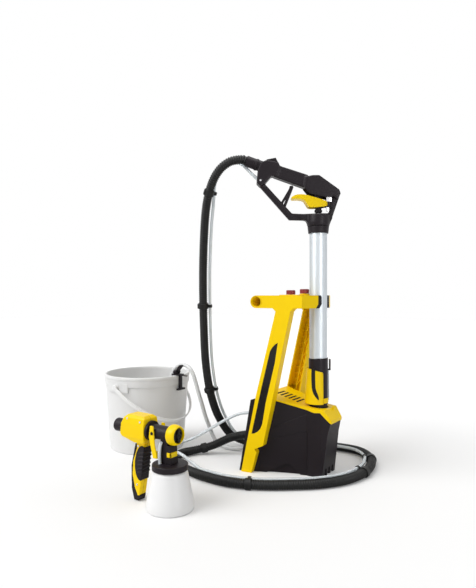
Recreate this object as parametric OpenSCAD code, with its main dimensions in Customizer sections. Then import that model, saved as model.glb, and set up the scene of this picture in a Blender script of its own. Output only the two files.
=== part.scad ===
// Paint spraying station: a floor turbine with a long ceiling-and-wall
// lance, a hand gun with its cup, a paint bucket and the hoses between them.
// Origin: on the floor under the lance axis. +X from the rear legs to the lance,
// +Z up. Millimetres.

/* [Station] */
// Distance of the rear foot corner behind the lance axis
foot_x = 187; // [170:1:200]
// Distance of the rear foot corner from the middle plane
foot_y = 118; // [110:1:126]
// Angle between a side frame and the middle plane
taper = 8; // [6:0.5:10]
// Rear end of the tub on the floor
tub_rear_x = 197; // [190:1:205]
// Half width of the tub at its rear wall
tub_rear_half = 112; // [105:1:115]
// Half width of the tub where the nose starts
tub_nose_half = 46; // [44:1:50]
// Front end of the deck
nose_x = 57; // [54:1:62]
// Wall of the tub
tub_wall = 3; // [2.5:0.5:4]
// Height of the tub floor over the ground
tub_floor = 10; // [9:1:14]
// Skin of the yellow deck
deck_skin = 4; // [3:0.5:5]
// Vent slot width
vent_w = 7; // [4:0.5:8]

/* [Side frames] */
// Thickness of a side frame
frame_t = 32; // [28:1:36]
// Skin and rim of a side frame
frame_skin = 4; // [3:0.5:5]
// Thickness of the lattice ribs inside a frame
rib_t = 2; // [1.5:0.5:3]
// Height of those ribs above the skin
rib_h = 9; // [6:1:20]
// Underside of the top bars
bar_z = 470; // [466:1:474]
// Height of the top bars
bar_h = 36; // [34:1:40]
// Thickness of a fork prong
prong_t = 18; // [14:1:20]
// Outer radius of the carrying bar
grip_bar_r = 16; // [14:0.5:16]
// Wall of the carrying bar
grip_bar_wall = 2; // [1.5:0.5:3]
// Depth of the black inlay in its pocket
inlay_t = 2; // [1.5:0.5:3]

/* [Knobs] */
// Radius of a red knob
knob_r = 13.5; // [11:0.5:15]
// Height of a red knob
knob_h = 13; // [10:1:16]
// Radius of the studs that the knobs turn on
stud_r = 6; // [4:0.5:8]

/* [Lance] */
// Turn of the lance about its own axis, handle to the rear
lance_yaw = 34; // [28:1:40]
// Outer radius of the lance tube
tube_r = 25; // [24:0.5:26]
// Wall of the lance tube
tube_wall = 2; // [1.5:0.5:3]
// Bottom of the collar under the handle
collar_z = 683; // [675:1:690]
// Top of the lance tube in the handle
tube_top = 728; // [722:1:732]
// Floor of the seat in the deck
seat_z = 184; // [182:0.5:186]
// Height of the black foot ring
foot_ring_h = 13; // [10:1:15]
// Top of the spray head sleeve
sleeve_top = 322; // [315:1:330]
// Wall of the spray head sleeve
sleeve_wall = 2; // [1.5:0.5:2.5]

/* [Handle] */
// Half thickness of the head block
head_half = 21; // [20:0.5:24]
// Half thickness of the grip
grip_half = 15; // [13:0.5:16]
// Half thickness of the guard
guard_half = 8; // [6:0.5:10]
// Radius of the trigger pin
pin_r = 3; // [2.5:0.5:3.5]
// Outer radius of the hose cuff
cuff_r = 15.5; // [15:0.5:17]
// Length of the hose cuff
cuff_len = 46; // [40:1:50]

/* [Hand gun] */
// Plane of the gun, on the camera side of the station
gun_y = -433; // [-450:1:-420]
// Centre of the cup along X
cup_x = -180; // [-190:1:-170]
// Radius of the cup at its base
cup_r = 57; // [54:1:60]
// Radius of the cup neck
neck_r = 38; // [36:1:40]
// Underside of the lid
lid_z = 94; // [90:1:98]
// Height of the lid
lid_h = 14; // [12:1:16]
// Wall of the cup
cup_wall = 2.5; // [2:0.5:3]
// Height of the barrel axis
barrel_z = 177; // [174:1:180]
// Outer radius of the barrel
barrel_r = 17; // [16:0.5:18]
// Outer radius of the rear air inlet
inlet_r = 16.5; // [15:0.5:18]
// Wall of the rear air inlet
inlet_wall = 3; // [2:0.5:4]
// Outer radius of the nozzle nut
nut_r = 24.5; // [24:0.5:27]

/* [Bucket] */
// Centre of the bucket along X
bucket_x = -600; // [-620:1:-590]
// Centre of the bucket along Y
bucket_y = -70; // [-80:1:-60]
// Outer radius of the bucket at its base
bucket_base_r = 122; // [118:1:126]
// Outer radius of the bucket under its rim
bucket_top_r = 136; // [133:1:138]
// How far the rim band stands out
rim_out = 6; // [4:0.5:9]
// Height of the bucket
bucket_h = 247; // [240:1:255]
// Wall of the bucket
bucket_wall = 2.5; // [2:0.5:3.5]
// Radius of the bail wire
bail_r = 4; // [3:0.5:5]

/* [Hoses] */
// Crest radius of the ribbed air hose
air_r = 13; // [12:0.5:14]
// Root radius of the ribbed air hose
air_root_r = 11; // [10:0.5:11.5]
// Bore radius of the ribbed air hose
air_bore_r = 8.5; // [7.5:0.5:9]
// Ribs on the part of the air hose that lies on the floor
loop_ribs = 120; // [60:1:130]
// Ribs on the part of the air hose that rises to the handle
riser_ribs = 56; // [30:1:60]
// Radius of the clear paint hose
paint_r = 4.5; // [4:0.5:5]
// Radius of the suction hose
suction_r = 6.5; // [6:0.5:7]

/* [Fits] */
// Gap between parts that move past each other
gap = 0.3; // [0.2:0.05:0.5]
// Radial clearance of pins and shafts that turn
running = 0.05; // [0.03:0.01:0.08]

/* [Hidden] */
$fn = 64;

yellow = "#fccf05";
black = "#2d262d";
hose_black = "#151515";
red = "#7a1a1e";
silver = "#d0d4d9";
white = "#f0f0ee";
clear = "#dfe8ec";

// Plan and side outlines of the tub and the deck
nose_start_x = -16;
groove_x = 30.5;
groove_r = 6;
groove_z = 16;
nose_flank_x = 30;
nose_flank_half = tub_nose_half - 2;
nose_tip_half = tub_nose_half - 10;
tub_plan = [
    [-tub_rear_x - 1, -tub_rear_half], [nose_start_x, -tub_nose_half],
    [nose_flank_x, -nose_flank_half], [nose_x - 1, -nose_tip_half],
    [nose_x - 1, nose_tip_half], [nose_flank_x, nose_flank_half],
    [nose_start_x, tub_nose_half], [-tub_rear_x - 1, tub_rear_half]
];
wall_angle = atan2(tub_rear_half - tub_nose_half, tub_rear_x + 1 + nose_start_x);
rear_top = [-166, 205];
rear_lean = atan2(tub_rear_x + rear_top.x, rear_top.y);
rim_line = [[-140, 215], [-88, 203], [8, 178], [26, 180], [nose_x - 7, 155]];
tub_side = concat(
    [[-tub_rear_x, 0], [31, 0], [46, 120], [nose_x - 4, 150]],
    [for (i = [len(rim_line) - 1:-1:0]) rim_line[i]],
    [rear_top]
);
deck_front = [nose_x - 20, 187];
deck_bend = [-36, 194];
deck_slope = 0.26;
function deck_top(x) =
    x < deck_bend.x ? deck_bend.y + (deck_bend.x - x) * deck_slope
    : deck_bend.y + (x - deck_bend.x) * (deck_front.y - deck_bend.y) / (deck_front.x - deck_bend.x);
deck_rear_x = -143;
deck_side = concat(
    [for (p = rim_line) p + [0, gap / 2]],
    [[nose_x - 1, 151], [nose_x, 158], deck_front, deck_bend,
     [deck_rear_x, deck_top(deck_rear_x)], [deck_rear_x, rim_line[0].y + 3]]
);
arch = [[-125, -1], [-72, 27], [-58, 27], [-30, -1]];
arch_depth = 9;
vent_rows = 6;
vent_pitch = 13;
vent_first_x = -122;
vent_half = 25;

// Side frame outline, along its own plane from the rear foot corner
frame_foot = [[0, 0], [32, 0], [48, 59], [42, 69], [68, 81], [89, 176]];
leg_knee = [46, 220];
bar_rear = 47;
bar_bend = 184;
leg_top_rear = 106;
leg_top_front = 150;
gusset = 9;
bar_top = bar_z + bar_h;
bar_round = bar_h / 2;
leg_top_z = bar_z - gusset;
frame_side = concat(
    frame_foot,
    [[leg_top_front, leg_top_z], [leg_top_front + gusset, bar_z], [bar_bend, bar_z],
     [bar_bend, bar_top], [bar_rear, bar_top], [bar_rear, bar_z],
     [leg_top_rear - gusset, bar_z], [leg_top_rear, leg_top_z], leg_knee]
);
leg_low = concat(frame_foot, [[leg_top_front, leg_top_z], [leg_top_rear, leg_top_z], leg_knee]);
inlay_side = [
    [33, 112], [42, 114], [51, 119], [60, 129], [66, 143], [77, 206], [104, 317], [113, 374],
    [105, 369], [98, 362], [90, 350], [62, 238]
];
grip_bar_x = -140;
grip_bar_half = 110.5;
fork_gap = 0.5;
fork_tip = [22, -24];
cap_len = 13;
cap_slant = [9, 12];

// Bridge between the top bars
bridge_t = 12;
bridge_rear = 92;
bridge_rise = 2;
front_knob_rise = 3;
bridge_front_x = -30;
rear_knob_x = -89;
front_knob_x = -44;
stud_h = 9;

// Drives inside the tub
fan_x = -112;
fan_r = 44;
fan_z = 56;
housing_r = 50;
housing_z = 31;
housing_h = 56;
motor_r = 34;
motor_h = 52;
shaft_r = 4;
pump_x = -18;
pump_r = 26;
pump_z = 60;
pump_h = 42;
rotor_r = 19;
outlet_z = 70;
outlet_end = -216;
union_r = 9;
union_end = -200;
paint_port = [-38, 150];
suction_port = [48, 84];
gland_port = [66, 104];
switch_port = [0, 140];
switch_pin_r = 1.5;
panel_t = 3;
panel_half = 78;
panel_z = [34, 178];

// Lance pieces, in the plane of the handle
foot_r = 25.5;
sleeve_r = tube_r + sleeve_wall + gap;
shield_room = 41.5;
grip_slope = 20;
cuff_start = [-163, 875];
cuff_dir = [-cos(grip_slope), sin(grip_slope)];
cuff_tip = cuff_start + cuff_len * cuff_dir;
cuff_end = [cuff_tip.x * cos(lance_yaw), cuff_tip.x * sin(lance_yaw), cuff_tip.y];
cuff_axis = [-cuff_dir.x * cos(lance_yaw), -cuff_dir.x * sin(lance_yaw), -cuff_dir.y];
cuff_socket = 14;
paint_entry = [-172, 836];
paint_entry_slope = 45;
paint_entry_point = [paint_entry.x * cos(lance_yaw), paint_entry.x * sin(lance_yaw), paint_entry.y];
paint_entry_axis = [
    cos(paint_entry_slope) * cos(lance_yaw), cos(paint_entry_slope) * sin(lance_yaw),
    -sin(paint_entry_slope)
];
latch_side = [[-148, 884], [-111, 877], [-122.6, 898.4], [-148.4, 893.5]];
latch_room = [[-150, 883.5], [-109, 876.5], [-109, 920], [-150, 920]];
latch_half = 8;
latch_travel = 3;
trigger_pivot = [26, 768];
trigger_half = 17;
cheek_t = 3;
lug_half = 12.6;
lock_pivot = [-97, 762];
slot_half = trigger_half + 0.8;
boot_r = 11;
boot_z = [742, 811];

// Bucket pieces
rim_r = bucket_top_r + rim_out;
bail_pivot_z = bucket_h - 33;
bail_half = rim_r + 8;
bail_angle = 52;
bail_drop = (bucket_top_r + bail_r + 1) / sin(bail_angle);
ear_r = 10;
ear_start = bucket_top_r - 2;
ear_h = bail_half - bail_r - 3 * gap - ear_start;
bail_pin_r = 2.5;
clip_x = bucket_x + rim_r;
arm_pivot = [clip_x - 12, bucket_h + 10.5];
arm_half = 4;
arm_pin_r = 2.5;

// Hose routes, in the order that the air flows
air_loop_route = [
    [outlet_end, 0, outlet_z], [-230, 0, outlet_z], [-250, 0, outlet_z], [-300, -10, 55],
    [-352, -34, 28], [-394, -68, 15], [-412, -112, 13.3], [-398, -160, 13.3], [-355, -200, 13.3],
    [-292, -227, 13.3], [-220, -241, 13.3], [-145, -240, 13.3], [-70, -214, 13.3], [-4, -170, 13.3],
    [60, -115, 13.3], [106, -45, 13.3], [124, 40, 13.3], [112, 125, 13.3], [80, 185, 13.3],
    [28, 222, 13.3], [-50, 222, 13.3], [-130, 200, 13.3], [-205, 166, 13.3], [-262, 134, 13.3]
];
air_riser_route = [
    [-262.4, 133.8, 13.3], [-296, 115, 13.3], [-330, 94, 21], [-356, 66, 46], [-366, 35, 87],
    [-368, 0, 140], [-366, -34, 215], [-362, -58, 300], [-354, -76, 390], [-344, -93, 490],
    [-332, -109, 590], [-314, -127, 690], [-295, -143, 760], [-276, -152, 808], [-257, -155, 843],
    [-238, -152, 868], [-219, -145, 884], [-202, -136, 892], cuff_end - 12 * cuff_axis,
    cuff_end, cuff_end + (cuff_socket - gap) * cuff_axis
];
paint_exit_route = [
    [union_end, paint_port[0], paint_port[1]], [-212, paint_port[0], paint_port[1]],
    [-228, paint_port[0] - 0.5, paint_port[1] - 2], [-256, -43, 139], [-303, -55, 113], [-350, -68, 82],
    [-388, -78.5, 59], [-413, -89, 47], [-429, -108, 40], [-432.5, -131, 37], [-423.5, -152, 36.5],
    [-405, -165.5, 36.5], [-376, -175, 36.5], [-342, -185, 33]
];
suction_route = [
    [-512, -70, 130], [-511, -69, 165], [-508, -64, 200], [-503, -58, 234], [-495.5, -56, 256],
    [-479, -55, 273], [-456, -55, 279.5], [-433.5, -55, 273.2], [-417, -55, 256.5], [-408, -53, 233],
    [-401, -46, 198], [-397, -33, 158], [-396, -14, 112], [-394, 4, 75], [-389, 14, 47], [-379, 21, 26],
    [-361, 27, 12.6], [-336, 32, 7.5], [-310, 37, 7.5], [-287, 42, 13], [-269, 45, 27.5],
    [-256, 46.8, 47], [-244.5, 48, 65], [-229, 48, 78.5], [-212, 48, 84], [union_end, 48, 84]
];

// Outline tools: inset of a counter-clockwise polygon
function left_normal(a, b) = [a.y - b.y, b.x - a.x] / norm(b - a);
function meet(p, u, q, v) = p + u * ((q - p).x * v.y - (q - p).y * v.x) / (u.x * v.y - u.y * v.x);
function inset(pts, d) = [
    for (i = [0:len(pts) - 1])
        let (a = pts[(i + len(pts) - 1) % len(pts)], b = pts[i], c = pts[(i + 1) % len(pts)])
        meet(a + left_normal(a, b) * d, b - a, b + left_normal(b, c) * d, c - b)
];

// Sweep tools: a smooth curve through the route points, cut into even steps
function curve_at(r, i, t) =
    let (n = len(r) - 1, a = r[max(i - 1, 0)], b = r[i], c = r[i + 1], d = r[min(i + 2, n)])
    0.5 * (2 * b + (c - a) * t + (2 * a - 5 * b + 4 * c - d) * t * t + (3 * b - a - 3 * c
        + d) * t * t * t);
function dense(r, k) = concat(
    [for (i = [0:len(r) - 2], j = [0:k - 1]) curve_at(r, i, j / k)],
    [r[len(r) - 1]]
);
function running_length(p, i = 0, s = 0, out = []) =
    i == len(p) ? out : let (t = i == 0 ? 0 : s + norm(p[i] - p[i - 1])) running_length(p, i + 1,
        t, concat(out, [t]));
function spot(p, l, s, lo, hi) =
    hi - lo < 2 ? let (f = (s - l[lo]) / (l[hi] - l[lo])) p[lo] + (p[hi] - p[lo]) * f
    : let (mid = floor((lo + hi) / 2)) l[mid] > s ? spot(p, l, s, lo, mid) : spot(p, l, s, mid, hi);
function even_steps(p, n) =
    let (l = running_length(p), last = len(p) - 1)
    [for (i = [0:n]) spot(p, l, min(l[last] * i / n, l[last]), 0, last)];
function heading(p, i) =
    let (n = len(p) - 1, v = p[min(i + 1, n)] - p[max(i - 1, 0)]) v / norm(v);
function unit(v) = v / norm(v);
function ring_at(c, dir, ref, r, sides) =
    let (u = unit(cross(dir, ref)), w = cross(u, dir))
    [for (k = [0:sides - 1]) c + r * (u * cos(360 * k / sides) + w * sin(360 * k / sides))];
function rings(p, ref, radii, sides) = [
    for (i = [0:len(p) - 1], q = ring_at(p[i], heading(p, i), ref, radii[i], sides)) q
];
function skin(first, count, sides, out) = [
    for (i = [0:count - 2], k = [0:sides - 1], half = [0, 1])
        let (a = first + i * sides + k, b = first + i * sides + (k + 1) % sides)
        let (f = half == 0 ? [a, b, b + sides] : [a, b + sides, a + sides])
        out ? f : [f[0], f[2], f[1]]
];
function cap(first, sides, flip) = [
    for (k = [1:sides - 2]) flip ? [first, first + k + 1, first + k] : [first, first + k, first + k + 1]
];
function annulus(outer, inner, sides, flip) = [
    for (k = [0:sides - 1], half = [0, 1])
        let (n = (k + 1) % sides)
        let (f = half == 0 ? [outer + k, inner + k, inner + n] : [outer + k, inner + n, outer + n])
        flip ? [f[0], f[2], f[1]] : f
];
module plain_tube(route, r, ref, steps, sides = 10) {
    p = even_steps(dense(route, 6), steps);
    v = rings(p, ref, [for (q = p) r], sides);
    polyhedron(v, concat(skin(0, steps + 1, sides, true), cap(0, sides, true), cap(steps * sides,
        sides, false)));
}
module ribbed_tube(route, ref, ribs, sides = 8) {
    steps = 2 * ribs;
    p = even_steps(dense(route, 6), steps);
    radii = [for (i = [0:steps]) i % 2 == 1 ? air_r : air_root_r];
    bore_steps = ribs;
    q = even_steps(dense(route, 6), bore_steps);
    outer = rings(p, ref, radii, sides);
    inner = rings(q, ref, [for (c = q) air_bore_r], sides);
    n = len(outer);
    polyhedron(
        concat(outer, inner),
        concat(
            skin(0, steps + 1, sides, true), skin(n, bore_steps + 1, sides, false),
            annulus(0, n, sides, false), annulus(steps * sides, n + bore_steps * sides, sides, true)
        )
    );
}
// Least distance between two points of a route that lie over three diameters apart along it
function self_gap(route, r) =
    let (n = 120, p = even_steps(dense(route, 6), n), l = running_length(p), far = 6 * r)
    min([for (i = [0:n], j = [i:n]) if (l[j] - l[i] > far) norm(p[j] - p[i])]) - 2 * r;
up = [0, 0, 1];
lance_across = [sin(lance_yaw), -cos(lance_yaw), 0];
echo(str("air hose gap to itself, floor part: ", self_gap(air_loop_route, air_r), " mm"));
echo(str("air hose gap to itself, rising part: ", self_gap(air_riser_route, air_r), " mm"));

// The clear hose lies beside the air hose: on its inner side on the floor, on the
// station's side as it rises
clip_wall = 2.5;
beside = air_r + clip_wall + paint_r + 0.8;
function inner_side(p, i) = unit(cross(up, heading(p, i)) + [0, 0, 0.4]);
function riser_side(p, i) =
    let (rise = min(i / 8, 1), turn = max(0, min((i - 25) / 4, 1)))
    unit(
        (1 - rise) * inner_side(p, i) + rise * (1 - turn) * unit(cross(heading(p, i), lance_across))
        - turn * lance_across
    );
loop_line = even_steps(dense(air_loop_route, 6), 60);
paint_join = 18;
paint_loop_line = concat(
    paint_exit_route,
    [for (i = [paint_join:2:60]) loop_line[i] + beside * inner_side(loop_line, i)]
);
riser_line = even_steps(dense(air_riser_route, 6), 32);
paint_leave = 30;
paint_tail = [[-231, 20.5, 890], [-213, 16, 880.5], [-193.5, 6, 858]];
function in_handle(p) = [p.x * cos(lance_yaw), p.x * sin(lance_yaw), p.z] - p.y * lance_across;
paint_riser_line = concat(
    [for (i = [0:1:paint_leave]) riser_line[i] + beside * riser_side(riser_line, i)],
    [for (p = paint_tail) in_handle(p)],
    [paint_entry_point - 8 * paint_entry_axis, paint_entry_point]
);

module on_side(side) {
    mirror([0, side > 0 ? 1 : 0, 0])
        translate([-foot_x, -foot_y, 0])
            rotate([0, 0, taper]) children();
}
module on_wall(side) {
    mirror([0, side > 0 ? 1 : 0, 0])
        translate([-tub_rear_x - 1, -tub_rear_half, 0])
            rotate([0, 0, wall_angle]) children();
}
// Stands a drawing up, from y = 0 inwards
module standing(t) {
    translate([0, t, 0]) rotate([90, 0, 0]) linear_extrude(t) children();
}
module slab_across(half) {
    translate([0, half, 0]) rotate([90, 0, 0]) linear_extrude(2 * half) children();
}
// Half of a drawing that stands in the middle plane, on one side of it
module half_slab(side, t, from = 0) {
    translate([0, side > 0 ? t : -from, 0]) rotate([90, 0, 0]) linear_extrude(t - from) children();
}
module along_x(x0, x1, r) {
    translate([x0, 0, 0]) rotate([0, 90, 0]) cylinder(r = r, h = x1 - x0);
}
module along_y(half, r) {
    rotate([90, 0, 0]) cylinder(r = r, h = 2 * half, center = true);
}
module lance_turn() {
    rotate([0, 0, lance_yaw]) children();
}
module leg_room(more) {
    outside = tub_rear_half;
    for (side = [-1, 1]) on_side(side) translate([0, -outside, 0])
        standing(frame_t + outside + more) polygon(inset(leg_low, -more));
}

module tub_solid(plan, side) {
    intersection() {
        linear_extrude(300) polygon(plan);
        slab_across(200) polygon(side);
    }
}
// The hollow under each side wall
module arch_room(outline, depth) {
    difference() {
        slab_across(200) polygon(outline);
        linear_extrude(300, center = true) polygon(inset(tub_plan, depth));
    }
}
module base_tub() {
    cavity_side = [
        [-tub_rear_x + 7, tub_floor], [26, tub_floor], [40, 118], [nose_x - 10, 148], [24, 171],
        [24, 290], [-134, 290], [-134, 210], [rear_top.x + 8, 200]
    ];
    low_wall = [[60, -1], [240, -1], [240, 138], [60, 88]];
    high_wall = [[60, 112], [86, 123], [196, 172], [196, 240], [60, 240]];
    low_step = 1.5;
    high_step = 1.2;
    color(black) difference() {
        tub_solid(tub_plan, tub_side);
        difference() {
            tub_solid(inset(tub_plan, tub_wall), cavity_side);
            leg_room(tub_wall);
            arch_room(inset(arch, tub_wall), arch_depth + tub_wall);
        }
        leg_room(gap);
        arch_room(arch, arch_depth);
        for (side = [-1, 1]) on_wall(side) {
            translate([0, -1, 0]) standing(1 + low_step) polygon(low_wall);
            translate([0, -1, 0]) standing(1 + high_step) polygon(high_wall);
        }
        for (y = [-22, 0, 22]) translate([0, y, 0]) {
            along_x(22, 60, 8);
            translate([groove_x, -groove_r, 0]) cube([30, 2 * groove_r, groove_z]);
            translate([0, 0, groove_z]) along_x(groove_x, 60, groove_r);
        }
        rear_window(0);
    }
}
// The opening in the rear wall, and the panel that fills it
module rear_window(less) {
    translate([-tub_rear_x, 0, 0]) rotate([0, rear_lean, 0])
        translate([-6, -panel_half + less, panel_z[0] + less])
            cube([16, 2 * (panel_half - less), panel_z[1] - panel_z[0] - 2 * less]);
}
module rear_ports() {
    translate([0, 0, outlet_z]) along_x(-260, -120, air_r + 3);
    translate([0, paint_port[0], paint_port[1]]) along_x(-260, -120, union_r);
    translate([0, suction_port[0], suction_port[1]]) along_x(-260, -120, union_r);
    translate([0, gland_port[0], gland_port[1]]) along_x(-260, -120, 8);
}
module rear_panel() {
    color(black) difference() {
        intersection() {
            rear_window(gap);
            translate([-tub_rear_x, 0, 0]) rotate([0, rear_lean, 0])
                translate([0, -panel_half, 0]) cube([panel_t, 2 * panel_half, 220]);
        }
        rear_ports();
        switch_place() cube([30, 26, 20], center = true);
    }
    color(black) switch_place() along_y(13.5, switch_pin_r);
}
module switch_place() {
    translate([-tub_rear_x, 0, 0]) rotate([0, rear_lean, 0])
        translate([panel_t / 2, switch_port[0], switch_port[1]]) children();
}
module power_switch() {
    color(black) switch_place() difference() {
        rotate([90, 0, 0]) linear_extrude(20, center = true)
            polygon([[4, -8], [4, 8], [-5, 8], [-3.5, 0], [-6.5, -8]]);
        along_y(20, switch_pin_r + running);
    }
}
module cable_gland() {
    color(black) translate([0, gland_port[0], gland_port[1]]) difference() {
        union() {
            along_x(-214, -170, 8 - running);
            along_x(-206, -196, 11);
        }
        along_x(-220, -160, 3.6);
    }
}
module air_outlet() {
    color(black) translate([0, 0, outlet_z]) difference() {
        union() {
            along_x(outlet_end, -158, air_r + 3 - running);
            along_x(outlet_end + 6, outlet_end + 14, air_r + 6);
        }
        along_x(outlet_end - 1, -150, air_bore_r);
    }
}
module hose_unions() {
    color(black) for (p = [paint_port, suction_port]) translate([0, p[0], p[1]]) difference() {
        union() {
            along_x(union_end, -160, union_r - running);
            along_x(union_end + 4, union_end + 12, union_r + 2.5);
        }
        along_x(union_end - 1, -150, 3);
    }
}
module top_deck() {
    pocket = [
        [-132, 150], [-38, 150], [-38, deck_top(-38) - deck_skin], [-132, deck_top(-132) - deck_skin]
    ];
    color(yellow) difference() {
        tub_solid(tub_plan, deck_side);
        tub_solid(inset(tub_plan, tub_wall + 3), pocket);
        leg_room(gap);
        translate([0, 0, seat_z]) cylinder(r = foot_r + 3.5, h = 80);
        translate([0, 0, seat_z + foot_ring_h + 1]) cylinder(r = shield_room, h = 80);
        translate([0, 0, seat_z - 60]) cylinder(r = 14, h = 80);
        vents(vent_w, vent_half, 190, 270);
    }
    color(yellow) translate([foot_r + 15, 14, deck_top(foot_r + 15) - 6]) cylinder(r = 3, h = 12);
}
module vents(w, half, low, high) {
    for (i = [0:vent_rows - 1]) translate([vent_first_x + i * vent_pitch, 0, low])
        translate([-w / 2, -half, 0]) cube([w, 2 * half, high - low]);
}
// Dust filter, with bars that stand up in the slots of the deck
module air_filter() {
    t = 10;
    ends = [-128, -42];
    color("#404040") {
        tub_solid(inset(tub_plan, tub_wall + 24), [
            [ends[0], deck_top(ends[0]) - deck_skin - t], [ends[1], deck_top(ends[1]) - deck_skin - t],
            [ends[1], deck_top(ends[1]) - deck_skin - gap], [ends[0], deck_top(ends[0]) - deck_skin - gap]
        ]);
        intersection() {
            vents(vent_w - 2 * gap, vent_half - gap, 190, 260);
            slab_across(60) polygon([
                [ends[0], deck_top(ends[0]) - deck_skin - 1], [ends[1], deck_top(ends[1]) - deck_skin - 1],
                [ends[1], deck_top(ends[1]) - 0.8], [ends[0], deck_top(ends[0]) - 0.8]
            ]);
        }
    }
}

module frame_shell() {
    difference() {
        union() {
            standing(frame_t) polygon(frame_side);
            translate([bar_rear, 0, bar_z + bar_round]) rotate([-90, 0, 0])
                cylinder(r = bar_round, h = frame_t);
        }
        difference() {
            translate([0, frame_skin, 0]) standing(frame_t) polygon(inset(frame_side, frame_skin));
            lattice();
            translate([bar_rear, 0, bar_z + bar_round]) rotate([-90, 0, 0])
                cylinder(r = bar_round, h = frame_t);
        }
        translate([0, -1, 0]) standing(1 + inlay_t) polygon(inset(inlay_side, -gap / 2));
    }
}
// A point of the leg: share f of the way from its rear edge to its front edge
function along_edge(from, to, z) = from.x + (z - from.y) * (to.x - from.x) / (to.y - from.y);
function leg_point(f, z) = [
    (1 - f) * along_edge(leg_knee, [leg_top_rear, leg_top_z], z)
        + f * along_edge(frame_foot[5], [leg_top_front, leg_top_z], z),
    z
];
module strip(a, b, w) {
    n = left_normal(a, b) * w / 2;
    polygon([a - n, b - n, b + n, a + n]);
}
// Ribs inside a leg: one along it, rungs behind that and crosses in front
module lattice() {
    spine = 0.42;
    low = 226;
    rung_pitch = 19;
    cross_h = 44;
    translate([0, frame_skin - 1, 0]) standing(rib_h + 1) {
        strip(leg_point(spine, 40), leg_point(spine, bar_z + 9), rib_t);
        for (z = [low:rung_pitch:leg_top_z]) strip(leg_point(-0.05, z), leg_point(spine, z), rib_t);
        for (z = [low:cross_h:leg_top_z - cross_h]) {
            strip(leg_point(spine, z), leg_point(1.05, z + cross_h), rib_t);
            strip(leg_point(1.05, z), leg_point(spine, z + cross_h), rib_t);
        }
        for (z = [60, 120, 180]) strip(leg_point(-0.05, z), leg_point(1.1, z), rib_t);
    }
}
// The fork prong, from the bend of a bar to the front of the lance
function frame_point(s, d) = [
    -foot_x + s * cos(taper) - d * sin(taper), -foot_y + s * sin(taper) + d * cos(taper)
];
bend_point = frame_point(bar_bend, 0);
prong_len = norm(fork_tip - bend_point);
prong_yaw = atan2(fork_tip.y - bend_point.y, fork_tip.x - bend_point.x);
module on_prong(side) {
    mirror([0, side > 0 ? 1 : 0, 0]) translate(bend_point) rotate([0, 0, prong_yaw]) children();
}
module lance_room() {
    translate([0, 0, bar_z - 20]) cylinder(r = tube_r + fork_gap, h = 100);
}
module frame_on(side) {
    end = prong_len - cap_len;
    color(yellow) difference() {
        union() {
            on_side(side) frame_shell();
            on_prong(side) standing(prong_t) polygon([
                [0, bar_z], [end - cap_slant.x, bar_z], [end, bar_z + cap_slant.y], [end, bar_top],
                [0, bar_top]
            ]);
        }
        lance_room();
        translate([grip_bar_x, 0, bar_z + bar_round]) along_y(200, grip_bar_r + running);
    }
}
module left_frame() {
    frame_on(-1);
}
module right_frame() {
    frame_on(1);
}
module frame_trim() {
    start = prong_len - cap_len + gap / 2;
    nose = 4;
    color(black) for (side = [-1, 1]) {
        on_side(side) standing(inlay_t - gap / 2) polygon(inlay_side);
        difference() {
            on_prong(side) standing(prong_t) polygon([
                [start - cap_slant.x, bar_z], [prong_len - cap_slant.x, bar_z],
                [prong_len, bar_z + cap_slant.y], [prong_len, bar_top - nose],
                [prong_len - nose, bar_top], [start, bar_top], [start, bar_z + cap_slant.y]
            ]);
            lance_room();
        }
    }
}
module grip_bar() {
    color(yellow) translate([grip_bar_x, 0, bar_z + bar_round]) difference() {
        along_y(grip_bar_half, grip_bar_r);
        along_y(grip_bar_half + 1, grip_bar_r - grip_bar_wall);
    }
}
module top_bridge() {
    a = frame_point(bridge_rear, frame_t + gap / 2);
    b = frame_point((bridge_front_x + foot_x + frame_t * sin(taper)) / cos(taper), frame_t + gap / 2);
    edge = 9;
    color(yellow) difference() {
        union() {
            translate([0, 0, bar_top - bridge_t]) linear_extrude(bridge_t)
                polygon([a, b, [b.x, -b.y], [a.x, -a.y]]);
            translate([0, 0, bar_top - 0.01]) linear_extrude(bridge_rise) polygon([
                a + [edge, edge], b + [-edge, edge], [b.x - edge, -b.y - edge], [a.x + edge, -a.y - edge]
            ]);
            translate([front_knob_x, 0, bar_top])
                cylinder(r = knob_r + 1, h = bridge_rise + front_knob_rise);
            translate([rear_knob_x, 0, bar_top]) cylinder(r = stud_r, h = bridge_rise + stud_h);
            translate([front_knob_x, 0, bar_top])
                cylinder(r = stud_r, h = bridge_rise + front_knob_rise + stud_h);
        }
        lance_room();
    }
}
module knob_at(x, rise) {
    color(red) translate([x, 0, bar_top + bridge_rise + rise + gap]) difference() {
        union() {
            cylinder(r = knob_r - 1, h = knob_h);
            for (k = [0:11]) rotate([0, 0, 30 * k]) translate([knob_r - 2, 0, 0])
                cylinder(r = 2, h = knob_h - 1.5);
        }
        translate([0, 0, -1]) cylinder(r = stud_r + running, h = stud_h + 1);
    }
}
module rear_knob() {
    knob_at(rear_knob_x, 0);
}
module front_knob() {
    knob_at(front_knob_x, front_knob_rise);
}

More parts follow.
